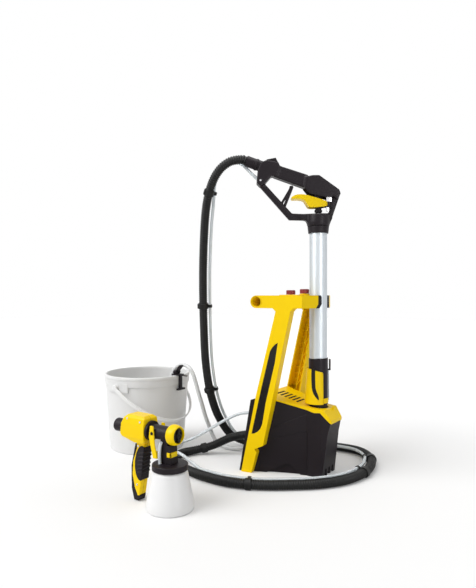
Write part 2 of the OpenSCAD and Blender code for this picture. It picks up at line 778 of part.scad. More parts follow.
module turbine_housing() {
    color("#3a3a40") translate([fan_x, 0, housing_z]) difference() {
        union() {
            cylinder(r = housing_r, h = housing_h);
            for (a = [110, 180, 250]) rotate([0, 0, a])
                translate([housing_r - 14, 0, tub_floor - housing_z])
                    cylinder(r = 7, h = housing_z - tub_floor + 1);
        }
        translate([0, 0, 4]) cylinder(r = fan_r + 3, h = housing_h - 8);
        translate([0, 0, -5]) cylinder(r = 18, h = 20);
        cylinder(r = shaft_r + running, h = housing_h + 1);
        translate([-housing_r - 10, 0, outlet_z - housing_z]) along_x(0, 30, air_r + 3);
    }
}
module turbine_motor() {
    color("#8b8f96") translate([fan_x, 0, housing_z + housing_h]) difference() {
        union() {
            cylinder(r = motor_r, h = motor_h);
            translate([0, 0, motor_h]) cylinder(r = 12, h = 8);
        }
        translate([0, 0, -1]) cylinder(r = shaft_r + running, h = 31);
    }
}
module turbine_fan() {
    color("#c8ccd2") translate([fan_x, 0, 0]) {
        translate([0, 0, housing_z + 8]) cylinder(r = shaft_r, h = housing_h + 20);
        translate([0, 0, fan_z - 14]) cylinder(r = fan_r, h = 2);
        translate([0, 0, fan_z - 14]) cylinder(r = 10, h = 22);
        for (k = [0:11]) rotate([0, 0, 30 * k]) translate([10 - 1, -0.8, fan_z - 13])
            cube([fan_r - 10, 1.6, 16]);
    }
}
module pump_body() {
    color("#3a3a40") translate([pump_x, 0, 0]) difference() {
        union() {
            translate([0, 0, pump_z]) cylinder(r = pump_r, h = pump_h);
            translate([0, 0, tub_floor]) cylinder(r = 18, h = pump_z - tub_floor + 1);
        }
        translate([0, 0, pump_z + 6]) cylinder(r = rotor_r + 1, h = pump_h);
        translate([0, 0, pump_z - 20]) cylinder(r = shaft_r + running, h = 40);
    }
}
module pump_rotor() {
    color("#c8ccd2") translate([pump_x, 0, 0]) {
        translate([0, 0, pump_z - 18]) cylinder(r = shaft_r, h = 50);
        translate([0, 0, pump_z + 8]) cylinder(r = 11, h = 24);
        for (k = [0:2]) rotate([0, 0, 120 * k]) translate([rotor_r - 6, 0, pump_z + 8])
            cylinder(r = 5.5, h = 24);
    }
}
module case_screws() {
    color(silver) {
        for (y = [-1, 1], z = panel_z)
            translate([-tub_rear_x, 0, 0]) rotate([0, rear_lean, 0])
                translate([-1.2, y * (panel_half - 7), z + (z > 100 ? -7 : 7)])
                    rotate([0, 90, 0]) cylinder(r = 3, h = 1.2);
        for (p = gun_screw_spots) gun_place() translate([p.x, -p[2], p.y]) rotate([90, 0, 0])
            cylinder(r = 2.6, h = 1);
    }
}

// Handle outlines, s along the handle, z up
grip_outline = [[-128, 843], [-42, 812], [-30, 848], [-113, 875]];
head_outline = [
    [-43, 812], [-28, 794], [29, 781], [39, 787], [50, 778], [61, 794], [57, 806], [0, 847],
    [-18, 847], [-41, 842]
];
rear_outline = [
    [-177, 826], [-166, 815], [-153, 824], [-135, 845], [-120, 845], [-110, 870], [-115, 884],
    [-150, 890], [-164, 884], [-174, 862]
];
guard_outline = [
    [-177, 826], [-84, 721], [-36, 720], [-36, 738], [-76, 740], [-153, 824], [-165, 828]
];
front_outline = [[39, 787], [29, 740], [24, 712], [33, 712], [61, 794]];
foot_outline = [
    [-62, 737], [-50, 722], [-36, 719], [-32, 712], [32, 712], [39, 726], [30, 742], [24, 741]
];
ring_z = [702.3, 713, 736];
ring_r = [31, 33.7];
collar_r = 28.5;
handle_screw_spots = [[-166, 832, 18], [26, 733, 13]];

module handle_half(side) {
    front_half = 11;
    foot_half = 13;
    rear_half = 18;
    color(black) lance_turn() difference() {
        union() {
            half_slab(side, head_half) polygon(head_outline);
            half_slab(side, grip_half) polygon(grip_outline);
            half_slab(side, rear_half) polygon(rear_outline);
            half_slab(side, guard_half) polygon(guard_outline);
            half_slab(side, front_half) polygon(front_outline);
            half_slab(side, foot_half) polygon(foot_outline);
            intersection() {
                union() {
                    translate([0, 0, ring_z[0]])
                        cylinder(r1 = ring_r[0], r2 = ring_r[1], h = ring_z[1] - ring_z[0]);
                    translate([0, 0, ring_z[1]]) cylinder(r = ring_r[1], h = ring_z[2] - ring_z[1]);
                }
                translate([-60, side > 0 ? 0 : -60, 700]) cube([120, 60, 60]);
            }
            half_slab(side, lug_half, lug_half - 4)
                polygon([[18, 758], [46, 758], [46, 779], [18, 779]]);
        }
        translate([-52, -slot_half, 740]) cube([80, 2 * slot_half, 18]);
        translate([-50, -slot_half, 779.5]) cube([78, 2 * slot_half, 33]);
        translate([-52, -slot_half, 757]) cube([69, 2 * slot_half, 40]);
        translate([0, 0, 700]) cylinder(r = tube_r + running, h = tube_top - 700);
        translate([0, 0, 700]) cylinder(r = boot_r + gap, h = 112);
        translate([trigger_pivot.x, 0, trigger_pivot.y]) along_y(40, pin_r);
        cuff_room(cuff_r + running);
        translate([0, 0, -latch_travel - gap]) slab_across(latch_half + gap) polygon(latch_room);
        translate([lock_pivot.x, 0, lock_pivot.y]) along_y(40, 2);
        translate([lock_pivot.x - 6.5, -4 - gap, lock_pivot.y - 6.5]) cube([40, 8 + 2 * gap, 60]);
        for (p = handle_screw_spots) translate([p.x, -p[2] - gap, p.y]) rotate([-90, 0, 0])
            cylinder(r = 2.6 + gap, h = 1 + gap);
        translate([paint_entry.x, 0, paint_entry.y]) rotate([0, 90 + paint_entry_slope, 0])
            translate([0, 0, -20]) cylinder(r = paint_r + 5 * gap, h = 22);
    }
}
module handle_left() {
    handle_half(-1);
}
module handle_right() {
    handle_half(1);
}
module handle_screws() {
    color(silver) lance_turn() for (p = handle_screw_spots)
        translate([p.x, -p[2], p.y]) rotate([-90, 0, 0]) cylinder(r = 2.6, h = 1);
}
module cuff_place() {
    translate([cuff_start.x, 0, cuff_start.y]) rotate([0, -90 + grip_slope, 0]) children();
}
module cuff_room(r) {
    cuff_place() translate([0, 0, -10]) cylinder(r = r, h = 70);
}
module hose_cuff() {
    color(black) lance_turn() cuff_place() difference() {
        union() {
            translate([0, 0, -9]) cylinder(r = cuff_r, h = cuff_len + 9);
            translate([0, 0, 12]) cylinder(r = cuff_r + 1.5, h = 6);
        }
        translate([0, 0, -20]) cylinder(r = air_bore_r, h = 100);
        translate([0, 0, cuff_len - cuff_socket - gap]) cylinder(r = air_r + gap, h = cuff_len);
    }
}
module hose_latch() {
    color(black) lance_turn() slab_across(latch_half) polygon(latch_side);
}
module tube_collar() {
    color(black) translate([0, 0, collar_z]) difference() {
        cylinder(r1 = collar_r, r2 = ring_r[0] - gap, h = ring_z[0] - collar_z - gap);
        translate([0, 0, -1]) cylinder(r = tube_r + running, h = 40);
    }
}
module lance_tube() {
    flutes = 8;
    flute_r = 1;
    color(silver) difference() {
        translate([0, 0, sleeve_top - 40]) cylinder(r = tube_r, h = tube_top - sleeve_top + 40);
        translate([0, 0, 100]) cylinder(r = tube_r - tube_wall, h = 800);
        lance_turn() for (k = [0:flutes - 1]) rotate([0, 0, 22.5 + 360 / flutes * k])
            translate([tube_r, 0, sleeve_top + 2])
                cylinder(r = flute_r, h = collar_z - sleeve_top - 4, $fn = 8);
    }
}
module paint_pipe() {
    color(clear) translate([0, 0, seat_z + 30]) difference() {
        cylinder(r = 5, h = boot_z[0] - seat_z - 30 - gap);
        translate([0, 0, -1]) cylinder(r = 3, h = 700);
    }
}
module valve_boot() {
    pleats = 6;
    pitch = (boot_z[1] - boot_z[0]) / pleats;
    color(black) difference() {
        union() {
            translate([0, 0, boot_z[0]]) cylinder(r = boot_r - 2, h = boot_z[1] - boot_z[0]);
            for (i = [0:pleats - 1]) translate([0, 0, boot_z[0] + pitch * i + 2])
                cylinder(r = boot_r, h = pitch / 2);
        }
        translate([0, 0, 700]) cylinder(r = 3.5, h = 200);
    }
}
module valve_steel() {
    color(silver) lance_turn() {
        translate([trigger_pivot.x, 0, trigger_pivot.y]) along_y(trigger_half + 1, pin_r);
        translate([0, 0, boot_z[0] - 40]) cylinder(r = 2.5, h = 100);
    }
}
module lance_trigger() {
    cheek = [
        [-34, 771], [-28, 757], [14, 757], [31, 762], [31, 772], [27, 775], [-33, 788]
    ];
    finger = [[-33, 788], [-45, 792], [-70, 793], [-79, 785], [-76, 780], [-45, 780], [-34, 771],
        [-24, 757.5], [-18, 784.5]];
    color(yellow) lance_turn() difference() {
        union() {
            for (side = [-1, 1]) half_slab(side, trigger_half, trigger_half - cheek_t) polygon(cheek);
            slab_across(trigger_half) polygon(finger);
        }
        translate([trigger_pivot.x, 0, trigger_pivot.y]) along_y(40, pin_r + running);
    }
}
module trigger_lock() {
    lever = [[-102, 762], [-97, 757], [-92, 762], [-81, 792], [-70, 818], [-75, 821], [-83, 817],
        [-91, 792]];
    color(black) lance_turn() {
        slab_across(4) polygon(lever);
        translate([lock_pivot.x, 0, lock_pivot.y]) along_y(guard_half - 0.5, 2 - running);
    }
}

module head_sleeve() {
    slant = 6;
    color(black) lance_turn() {
        difference() {
            union() {
                translate([0, 0, seat_z + foot_ring_h])
                    cylinder(r = sleeve_r, h = sleeve_top - seat_z - foot_ring_h + slant);
                translate([0, 0, seat_z + gap]) cylinder(r = foot_r, h = foot_ring_h);
            }
            translate([0, 0, seat_z + 20]) cylinder(r = tube_r + gap / 2, h = 300);
            translate([0, 0, 100]) cylinder(r = 12, h = 300);
            translate([-60, -60, sleeve_top]) rotate([0, -6, 0]) cube([140, 120, 60]);
        }
        translate([sleeve_r - 1.5, -4, 292]) cube([9, 8, 4]);
        translate([sleeve_r + 3.5, -4, 292]) cube([4, 8, 32]);
    }
}
module head_shield() {
    color(yellow) lance_turn() difference() {
        translate([-5, 0, seat_z + 15]) cylinder(r1 = 34, r2 = 28.5, h = 108);
        translate([0, 0, 100]) cylinder(r = sleeve_r + gap / 2, h = 300);
        translate([10, -60, 100]) cube([60, 120, 300]);
        translate([-60, -60, 306]) rotate([0, 14, 0]) cube([140, 120, 60]);
    }
}
module spray_nozzle() {
    color(black) difference() {
        union() {
            translate([0, 0, seat_z + 2]) cylinder(r = 11.9, h = 28);
            translate([0, 0, seat_z - 14]) cylinder(r1 = 6, r2 = 11.5, h = 16);
        }
        translate([0, 0, seat_z - 20]) cylinder(r = 2, h = 40);
    }
}

module air_hose_loop() {
    color(hose_black) ribbed_tube(air_loop_route, up, loop_ribs);
}
module air_hose_riser() {
    color(hose_black) ribbed_tube(air_riser_route, lance_across, riser_ribs);
}
module paint_hose_loop() {
    color(clear) plain_tube(paint_loop_line, paint_r, up, 74, 8);
}
module paint_hose_riser() {
    color(clear) plain_tube(paint_riser_line, paint_r, lance_across, 40, 8);
}
module suction_hose() {
    color(clear) plain_tube(suction_route, suction_r, [0, 1, 0.05], 44, 8);
}
// A clip round the air hose, with an open jaw for the clear hose
module clip_on(line, i, ref) {
    d = heading(line, i);
    u = unit(cross(d, ref));
    w = cross(u, d);
    multmatrix([
        [u.x, w.x, d.x, line[i].x], [u.y, w.y, d.y, line[i].y], [u.z, w.z, d.z, line[i].z], [0, 0, 0, 1]
    ]) difference() {
        translate([0, 0, -9]) cylinder(r = air_r + clip_wall, h = 18);
        translate([0, 0, -10]) cylinder(r = air_r + gap / 2, h = 20);
    }
}
floor_clip_steps = [7, 13, 25, 39, 44];
riser_clip_steps = [9, 17, 27];
module floor_clips() {
    color(hose_black) intersection() {
        union() {
            for (i = floor_clip_steps) clip_on(loop_line, i, up);
        }
        translate([-600, -600, 0.2]) cube([1200, 1200, 100]);
    }
}
module riser_clips() {
    color(hose_black) for (i = riser_clip_steps) clip_on(riser_line, i, lance_across);
}

module bucket_place() {
    translate([bucket_x, bucket_y, 0]) children();
}
module bucket() {
    band = 34;
    color(white) bucket_place() difference() {
        union() {
            rotate_extrude() polygon([
                [0, 0], [bucket_base_r, 0], [bucket_top_r, bucket_h - band],
                [rim_r - 2, bucket_h - band], [rim_r, bucket_h - 4], [rim_r - 2, bucket_h],
                [bucket_top_r - bucket_wall, bucket_h], [bucket_base_r - bucket_wall, bucket_wall],
                [0, bucket_wall]
            ]);
            for (side = [-1, 1]) ear_place(side) cylinder(r = ear_r, h = ear_h);
        }
        for (side = [-1, 1]) ear_place(side) translate([0, 0, 2])
            cylinder(r = bail_pin_r + running, h = ear_h);
    }
}
module ear_place(side) {
    translate([0, side * ear_start, bail_pivot_z]) rotate([-side * 90, 0, 0]) children();
}
module bucket_bail() {
    n = 24;
    route = [
        for (i = [0:n]) let (a = 180 * i / n, drop = bail_drop * sin(a))
            [drop * sin(bail_angle), -bail_half * cos(a), -drop * cos(bail_angle)]
    ];
    color(white) bucket_place() translate([0, 0, bail_pivot_z]) {
        plain_tube(route, bail_r, [cos(bail_angle), 0, sin(bail_angle)], 30, 8);
        for (side = [-1, 1]) translate([0, side * bail_half, 0]) rotate([side * 90, 0, 0])
            cylinder(r = bail_pin_r, h = bail_r + gap + ear_h - 4);
    }
}
module bucket_clip() {
    plate_z = bucket_h + gap;
    color(black) translate([clip_x, bucket_y, 0]) difference() {
        union() {
            translate([gap, -6, bucket_h - 42]) cube([6, 12, 46]);
            translate([gap, -17, bucket_h - 46]) cube([9, 34, 5]);
            translate([-24, -12, plate_z]) cube([32, 24, 4]);
            translate([7, -10, plate_z]) cube([30, 6, 3]);
            for (side = [-1, 1])
                translate([-18, side > 0 ? arm_half + gap : -arm_half - gap - 3.5, plate_z])
                    cube([12, 3.5, 16]);
        }
        translate([arm_pivot.x - clip_x, 0, arm_pivot.y]) along_y(20, arm_pin_r);
    }
}
module clip_arm() {
    color(black) translate([clip_x, bucket_y, 0]) difference() {
        translate([arm_pivot.x - clip_x, 0, arm_pivot.y]) slab_across(arm_half)
            polygon([[-5, -0.5], [-1, -4.5], [5, -1.5], [24, 19.5], [22, 23.5], [13, 22.5]]);
        translate([arm_pivot.x - clip_x, 0, arm_pivot.y]) along_y(20, arm_pin_r + running);
    }
}
module arm_pin() {
    color(silver) translate([arm_pivot.x, bucket_y, arm_pivot.y]) along_y(arm_half + 4, arm_pin_r);
}
module suction_strainer() {
    color(black) translate([suction_route[0].x, bucket_y, 0]) difference() {
        union() {
            translate([0, 0, bucket_wall]) cylinder(r = 22, h = 26);
            translate([0, 0, 24]) cylinder(r = 8, h = 106 - gap);
        }
        translate([0, 0, 40]) cylinder(r = 4, h = 120);
    }
}

module gun_place() {
    translate([0, gun_y, 0]) children();
}
gun_flange_x = -242;
gun_front_x = gun_flange_x - gap;
gun_body_outline = [
    [-322, 166], [-319, 190], [-311, 206], [-302, 213], [-250, 212], [gun_front_x, 206],
    [gun_front_x, 152], [-250, 147], [-278, 147], [-316, 158]
];
gun_body_section = [
    [-20, 140], [20, 140], [26, 160], [26, 192], [23, 206], [16, 214.5], [-16, 214.5], [-23, 206],
    [-26, 192], [-26, 160]
];
gun_grip_outline = [
    [-285, 34], [-275, 15], [-270, 15], [-263.5, 52], [-258, 104], [-252, 144], [-253, 160],
    [-279, 160], [-277, 132], [-290, 98], [-292.5, 64]
];
gun_grip_half = 12.5;
pad_proud = 1.5;
pad_sunk = 1.5;
gun_pivot_x = -219;
gun_pivot_r = 3.5;
trigger_out = 22;
gun_cheek_t = 3.5;
nut_x = -177;
cap_x = -167.5;
inlet_seat_r = inlet_r - 0.5;
inlet_face = -322;
gun_screw_spots = [
    [-298, 204, 24.6], [-254, 200, 25.3], [-272, 137, gun_grip_half], [-276, 42, gun_grip_half]
];
module gun_half(side) {
    body_half = 26;
    color(yellow) gun_place() difference() {
        union() {
            intersection() {
                half_slab(side, body_half) polygon(gun_body_outline);
                translate([-400, 0, 0]) rotate([90, 0, 90]) linear_extrude(300)
                    polygon(gun_body_section);
            }
            half_slab(side, gun_grip_half) polygon(gun_grip_outline);
        }
        translate([0, 0, barrel_z]) along_x(-400, -289, inlet_seat_r + running);
        translate([0, 0, barrel_z]) along_x(-300, -240, inlet_r - inlet_wall);
        for (s = [-1, 1]) half_slab(s, gun_grip_half + 5, gun_grip_half - pad_sunk)
            pad_shape(gap / 2);
    }
}
// Soft pad on both sides of the grip, which meets itself round the front
module pad_shape(more) {
    intersection() {
        translate([-262, 96]) rotate(-5)
            polygon([for (a = [0:15:345]) [(21 + more) * cos(a), (43 + more) * sin(a)]]);
        polygon(inset(gun_grip_outline, -pad_proud));
    }
}
module gun_left() {
    gun_half(-1);
}
module gun_right() {
    gun_half(1);
}
module gun_grip_trim() {
    spine = [
        [-276, 141], [-284, 141], [-297.5, 84], [-296.5, 30], [-288, 2], [-272, 2], [-268.5, 14],
        [-270, 30], [-272, 80]
    ];
    color(black) gun_place() {
        difference() {
            slab_across(11) polygon(spine);
            slab_across(40) polygon(inset(gun_grip_outline, -gap));
            slab_across(40) polygon(inset(gun_body_outline, -gap));
        }
        for (s = [-1, 1]) half_slab(s, gun_grip_half + pad_proud, gun_grip_half - pad_sunk + gap)
            pad_shape(0);
        slab_across(gun_grip_half + pad_proud) difference() {
            pad_shape(0);
            polygon(inset(gun_grip_outline, -gap));
        }
    }
}
module gun_inlet() {
    color(black) gun_place() translate([0, 0, barrel_z]) difference() {
        union() {
            along_x(-355, inlet_face, inlet_r);
            along_x(inlet_face - 1, -290, inlet_seat_r);
        }
        along_x(-360, -285, inlet_r - inlet_wall);
    }
}
module gun_body() {
    under_nut = barrel_z - nut_r - 2 * gap;
    column = [
        [-201, lid_z + lid_h], [-166, lid_z + lid_h], [-170, under_nut], [nut_x - 1, under_nut],
        [nut_x - 1, 168], [-199, 168]
    ];
    color(black) gun_place() difference() {
        union() {
            translate([0, 0, barrel_z]) along_x(gun_flange_x, gun_flange_x + 7, 24);
            translate([0, 0, barrel_z]) along_x(gun_flange_x + 6, -168, barrel_r);
            slab_across(13) polygon(column);
            translate([gun_pivot_x, 0, barrel_z]) along_y(trigger_out + 1, gun_pivot_r);
        }
        translate([0, 0, barrel_z]) along_x(-250, -160, 6);
    }
}
module gun_trigger() {
    cheek = [[-225, 195], [-215, 195], [-210, 150], [-204, 128], [-218, 128], [-229, 168]];
    blade = [[-218, 132], [-204, 132], [-203, 119], [-216, 119]];
    color(yellow) gun_place() difference() {
        union() {
            for (side = [-1, 1]) half_slab(side, trigger_out, trigger_out - gun_cheek_t) polygon(cheek);
            slab_across(trigger_out) polygon(blade);
        }
        translate([gun_pivot_x, 0, barrel_z]) along_y(40, gun_pivot_r + running);
    }
}
module nozzle_nut() {
    color(yellow) gun_place() translate([nut_x, 0, barrel_z]) rotate([0, 90, 0]) rotate_extrude()
        polygon([
        [barrel_r + running, 0], [nut_r - 2.5, 0], [nut_r, 4], [nut_r, 15], [nut_r - 4, 25],
        [18, 25], [18, cap_x - nut_x], [barrel_r + running, cap_x - nut_x]
    ]);
}
module air_cap() {
    color(black) gun_place() translate([0, 0, barrel_z]) difference() {
        along_x(cap_x, -150, 17.5);
        along_x(-170, -140, 2);
        translate([0, 0, -4]) translate([-154, -20, 0]) cube([10, 40, 8]);
    }
}
module gun_lid() {
    color(black) gun_place() translate([cup_x, 0, 0]) difference() {
        translate([0, 0, lid_z]) cylinder(r = 43, h = lid_h);
        translate([0, 0, lid_z - 1]) cylinder(r = neck_r + 2, h = lid_h - 3);
    }
}
module gun_cup() {
    color(white) gun_place() translate([cup_x, 0, 0]) rotate_extrude() polygon([
        [0, 0], [cup_r - 3, 0], [cup_r, 4], [cup_r - 2, 26], [neck_r + 4, lid_z - 4],
        [neck_r, lid_z - gap], [neck_r, lid_z + lid_h - 4.5],
        [neck_r - cup_wall, lid_z + lid_h - 4.5], [neck_r - cup_wall, lid_z - 4],
        [cup_r - 2 - cup_wall, 26], [cup_r - 4, cup_wall], [0, cup_wall]
    ]);
}
module vent_tube() {
    color(clear) plain_tube(
        [[-196, gun_y - 18, lid_z + lid_h + gap], [-197, gun_y - 18.5, 128],
        [-196, gun_y - 18.5, 146], [-192, gun_y - 18, 160]],
        4, [0, 1, 0], 10, 8
    );
}

base_tub();
rear_panel();
top_deck();
left_frame();
right_frame();
frame_trim();
grip_bar();
top_bridge();
case_screws();
cable_gland();
air_outlet();
hose_unions();
turbine_housing();
turbine_motor();
turbine_fan();
air_filter();
pump_body();
pump_rotor();
power_switch();
rear_knob();
front_knob();
handle_left();
handle_right();
handle_screws();
hose_cuff();
hose_latch();
tube_collar();
lance_tube();
paint_pipe();
valve_boot();
valve_steel();
lance_trigger();
trigger_lock();
head_sleeve();
head_shield();
spray_nozzle();
air_hose_loop();
air_hose_riser();
paint_hose_loop();
paint_hose_riser();
floor_clips();
riser_clips();
suction_hose();
suction_strainer();
bucket_clip();
clip_arm();
arm_pin();
bucket();
bucket_bail();
gun_left();
gun_right();
gun_grip_trim();
gun_inlet();
gun_body();
gun_trigger();
nozzle_nut();
air_cap();
gun_lid();
gun_cup();
vent_tube();
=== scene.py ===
import math
import bpy
import bmesh
from mathutils import Matrix, Vector


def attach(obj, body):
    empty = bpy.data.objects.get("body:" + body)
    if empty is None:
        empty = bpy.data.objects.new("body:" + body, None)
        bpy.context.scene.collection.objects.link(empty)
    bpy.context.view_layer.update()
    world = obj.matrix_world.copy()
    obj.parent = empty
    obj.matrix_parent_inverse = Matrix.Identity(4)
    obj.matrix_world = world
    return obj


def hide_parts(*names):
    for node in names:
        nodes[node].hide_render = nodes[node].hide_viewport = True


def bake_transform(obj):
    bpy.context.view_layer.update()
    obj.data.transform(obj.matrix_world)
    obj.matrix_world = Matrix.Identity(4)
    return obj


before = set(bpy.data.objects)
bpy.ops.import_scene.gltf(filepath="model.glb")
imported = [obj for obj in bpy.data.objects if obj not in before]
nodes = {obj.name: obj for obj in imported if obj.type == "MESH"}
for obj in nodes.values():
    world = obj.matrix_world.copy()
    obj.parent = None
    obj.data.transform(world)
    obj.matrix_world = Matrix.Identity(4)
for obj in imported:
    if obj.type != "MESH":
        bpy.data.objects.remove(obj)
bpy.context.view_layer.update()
scene = bpy.context.scene
mm = 0.001
print("frame loaded,", len(nodes), "nodes")

# camera, as the photograph was taken: level, half a metre up
cameraSetup = {"place": (0.6582, -1.3871, 0.510), "heading": 34.0, "lens": 32.45}

cameraData = bpy.data.cameras.new("photoCamera")
cameraData.lens = cameraSetup["lens"]
cameraData.sensor_width = 36.0
camera = bpy.data.objects.new("photoCamera", cameraData)
camera.location = cameraSetup["place"]
camera.rotation_euler = (math.radians(90), 0, math.radians(cameraSetup["heading"]))
scene.collection.objects.link(camera)
scene.camera = camera
scene.view_settings.view_transform = "Standard"


# a socket that can be used in sums
class Wire:
    def __init__(self, finish, socket):
        self.finish = finish
        self.socket = socket

    def sum(self, operation, first, second=0.0):
        return self.finish.add("ShaderNodeMath", {"operation": operation}, {0: first, 1: second})

    def __add__(self, other):
        return self.sum("ADD", self, other)

    def __sub__(self, other):
        return self.sum("SUBTRACT", self, other)

    def __rsub__(self, other):
        return self.sum("SUBTRACT", other, self)

    def __mul__(self, other):
        return self.sum("MULTIPLY", self, other)

    def __lt__(self, other):
        return self.sum("LESS_THAN", self, other)

    def __gt__(self, other):
        return self.sum("GREATER_THAN", self, other)

    def __abs__(self):
        return self.sum("ABSOLUTE", self)

    __radd__ = __add__
    __rmul__ = __mul__


# a material, or the world, and its main shader
class Finish:
    def __init__(self, owner, main="Principled BSDF"):
        owner.use_nodes = True
        self.material = owner
        self.tree = owner.node_tree
        self.shader = self.tree.nodes[main]

    def add(self, kind, settings=None, inputs=None, output=0):
        made = self.tree.nodes.new(kind)
        for key, value in (settings or {}).items():
            setattr(made, key, value)
        for key, value in (inputs or {}).items():
            self.put(made.inputs[key], value)
        return Wire(self, made.outputs[output])

    def put(self, socket, value):
        if isinstance(value, Wire):
            self.tree.links.new(value.socket, socket)
        else:
            socket.default_value = value

    def set(self, **sockets):
        for key, value in sockets.items():
            self.put(self.shader.inputs[key.replace("_", " ")], value)
        return self

    def place(self):
        return self.add("ShaderNodeTexCoord", output="Object")

    def noise(self, scale, detail=3.0, stretch=None):
        where = self.place()
        if stretch:
            where = self.add("ShaderNodeMapping", {}, {"Vector": where, "Scale": stretch})
        return self.add("ShaderNodeTexNoise", {}, {"Vector": where, "Scale": scale, "Detail": detail})

    def tint(self, mask, low, high):
        low = low if isinstance(low, Wire) else (*low, 1)
        return self.add("ShaderNodeMix", {"data_type": "RGBA"}, {"Factor": mask, 6: low, 7: (*high, 1)}, 2)

    def relief(self, height, depth, edge=0.0):
        inputs = {"Height": height, "Distance": depth, "Strength": 1.0}
        if edge:
            inputs["Normal"] = self.add("ShaderNodeBevel", {"samples": 4}, {"Radius": edge})
        return self.add("ShaderNodeBump", {}, inputs)


# finishes, by name
finishes = {}


def newFinish(name):
    f = Finish(bpy.data.materials.new(name))
    finishes[name] = f.material
    return f


def shade(colour, amount):
    return tuple(max(0.0, min(1.0, c * amount)) for c in colour)


# the line where two moulded halves meet: metres to each side, tone, depth against the grain
partingLine = {"half": 0.00035, "tone": 0.3, "depth": 8}


# moulded plastic: fine spark grain, slow drift of tone, softened edges
def mouldedPlastic(name, colour, roughness=0.4, grain=0.00003, edge=0.0012, gloss=0.5, seam=None):
    f = newFinish(name)
    drift = f.noise(9.0, 2.0)
    speck = f.noise(1400.0, 2.0)
    tone = f.tint(drift, shade(colour, 0.93), shade(colour, 1.05))
    height = speck
    if seam:  # parting line of two moulded halves
        along, offset = seam
        line = f.add("ShaderNodeVectorMath", {"operation": "DOT_PRODUCT"}, {0: f.place(), 1: along}, 1)
        line = abs(line - offset) < partingLine["half"]
        tone = f.tint(line, tone, shade(colour, partingLine["tone"]))
        height = speck - line * partingLine["depth"]
    f.set(
        Base_Color=tone, Roughness=drift * 0.12 + speck * 0.06 + (roughness - 0.09),
        Normal=f.relief(height, grain, edge), Specular_IOR_Level=gloss,
    )


# rubber of the corrugated hose: a fine speck, and a slow drift towards grey
def hoseRubber(name, colour):
    f = newFinish(name)
    speck = f.noise(700.0, 3.0)
    drift = f.noise(14.0, 2.0)
    f.set(
        Base_Color=f.tint(drift, colour, shade(colour, 1.8)), Roughness=speck * 0.15 + 0.36,
        Normal=f.relief(speck, 0.00006), Specular_IOR_Level=0.2,
    )


# drawn and anodised tube: fine lines along it
def anodisedTube(name, colour):
    f = newFinish(name)
    lines = f.noise(1.0, 2.0, (900.0, 900.0, 6.0))
    drift = f.noise(6.0, 2.0)
    f.set(
        Base_Color=f.tint(lines, shade(colour, 0.94), shade(colour, 1.04)),
        Metallic=0.6, Roughness=lines * 0.14 + drift * 0.06 + 0.36, Normal=f.relief(lines, 0.00002),
    )


# bright turned steel
def turnedSteel(name, colour):
    f = newFinish(name)
    lines = f.noise(1.0, 2.0, (200.0, 200.0, 2500.0))
    f.set(
        Base_Color=f.tint(lines, shade(colour, 0.9), colour), Metallic=1.0,
        Roughness=lines * 0.15 + 0.18, Normal=f.relief(lines, 0.00001, 0.0006),
    )


# soft clear tube, more or less see-through
def clearTube(name, colour, through):
    f = newFinish(name)
    drift = f.noise(30.0, 2.0)
    f.set(
        Base_Color=f.tint(drift, shade(colour, 0.96), colour), Roughness=drift * 0.1 + 0.18,
        Transmission_Weight=through, IOR=1.38, Specular_IOR_Level=0.5,
    )


# milky polypropylene of the bucket and the cup
def milkyPlastic(name, colour, roughness):
    f = newFinish(name)
    drift = f.noise(7.0, 2.0)
    speck = f.noise(260.0, 4.0)
    f.set(
        Base_Color=f.tint(drift, shade(colour, 0.97), colour), Roughness=speck * 0.12 + roughness,
        Normal=f.relief(speck, 0.00005, 0.0015), Subsurface_Weight=0.12, Subsurface_Scale=0.006,
        Subsurface_Radius=(1.0, 1.0, 1.0), Specular_IOR_Level=0.45,
    )


# the plane in which the lance's handle lies, and the hand gun's middle plane
lanceYaw = math.radians(34)
handleAcross = (-math.sin(lanceYaw), math.cos(lanceYaw), 0.0)
gunPlane = -0.433
yellow, yellowDeep = (1.0, 0.66, 0.0), (1.0, 0.68, 0.0)
mouldedPlastic("yellowShell", yellow, 0.40, edge=0.0016, gloss=0.12)
mouldedPlastic("yellowGun", yellow, 0.36, edge=0.0008, gloss=0.16, seam=((0, 1, 0), gunPlane))
mouldedPlastic("yellowTrigger", yellowDeep, 0.34, edge=0.0008, gloss=0.16)
mouldedPlastic("blackShell", (0.011, 0.0074, 0.0100), 0.44, grain=0.00007, edge=0.0016, gloss=0.18)
mouldedPlastic(
    "blackHandle", (0.012, 0.0082, 0.0112), 0.42, grain=0.00008, edge=0.0008, gloss=0.18,
    seam=(handleAcross, 0.0),
)
mouldedPlastic("blackGloss", (0.008, 0.007, 0.008), 0.28, edge=0.0008, gloss=0.22)
mouldedPlastic("softGrip", (0.012, 0.009, 0.012), 0.58, grain=0.00012, edge=0.0008, gloss=0.2)
mouldedPlastic("redKnob", (0.24, 0.010, 0.018), 0.36, edge=0.0008)
mouldedPlastic("darkGrey", (0.05, 0.05, 0.055), 0.5)
mouldedPlastic("filterFoam", (0.012, 0.011, 0.012), 0.9, grain=0.0006, gloss=0.2)
mouldedPlastic("motorEnamel", (0.22, 0.23, 0.26), 0.4)
hoseRubber("hoseBlack", (0.006, 0.006, 0.006))
anodisedTube("anodised", (0.56, 0.60, 0.63))
turnedSteel("steel", (0.72, 0.72, 0.74))
clearTube("clearHose", (0.90, 0.945, 0.97), 0.45)
clearTube("milkHose", (0.95, 0.96, 0.96), 0.25)
milkyPlastic("bucketWhite", (0.79, 0.79, 0.785), 0.42)
# the bail is the same milky plastic as the bucket, painted lighter: a painted highlight that keeps the strap
# light against the bucket's shaded wall
milkyPlastic("bailPaintedLighter", (0.90, 0.90, 0.895), 0.36)
milkyPlastic("cupWhite", (0.86, 0.86, 0.86), 0.34)
print("finishes made,", len(finishes))


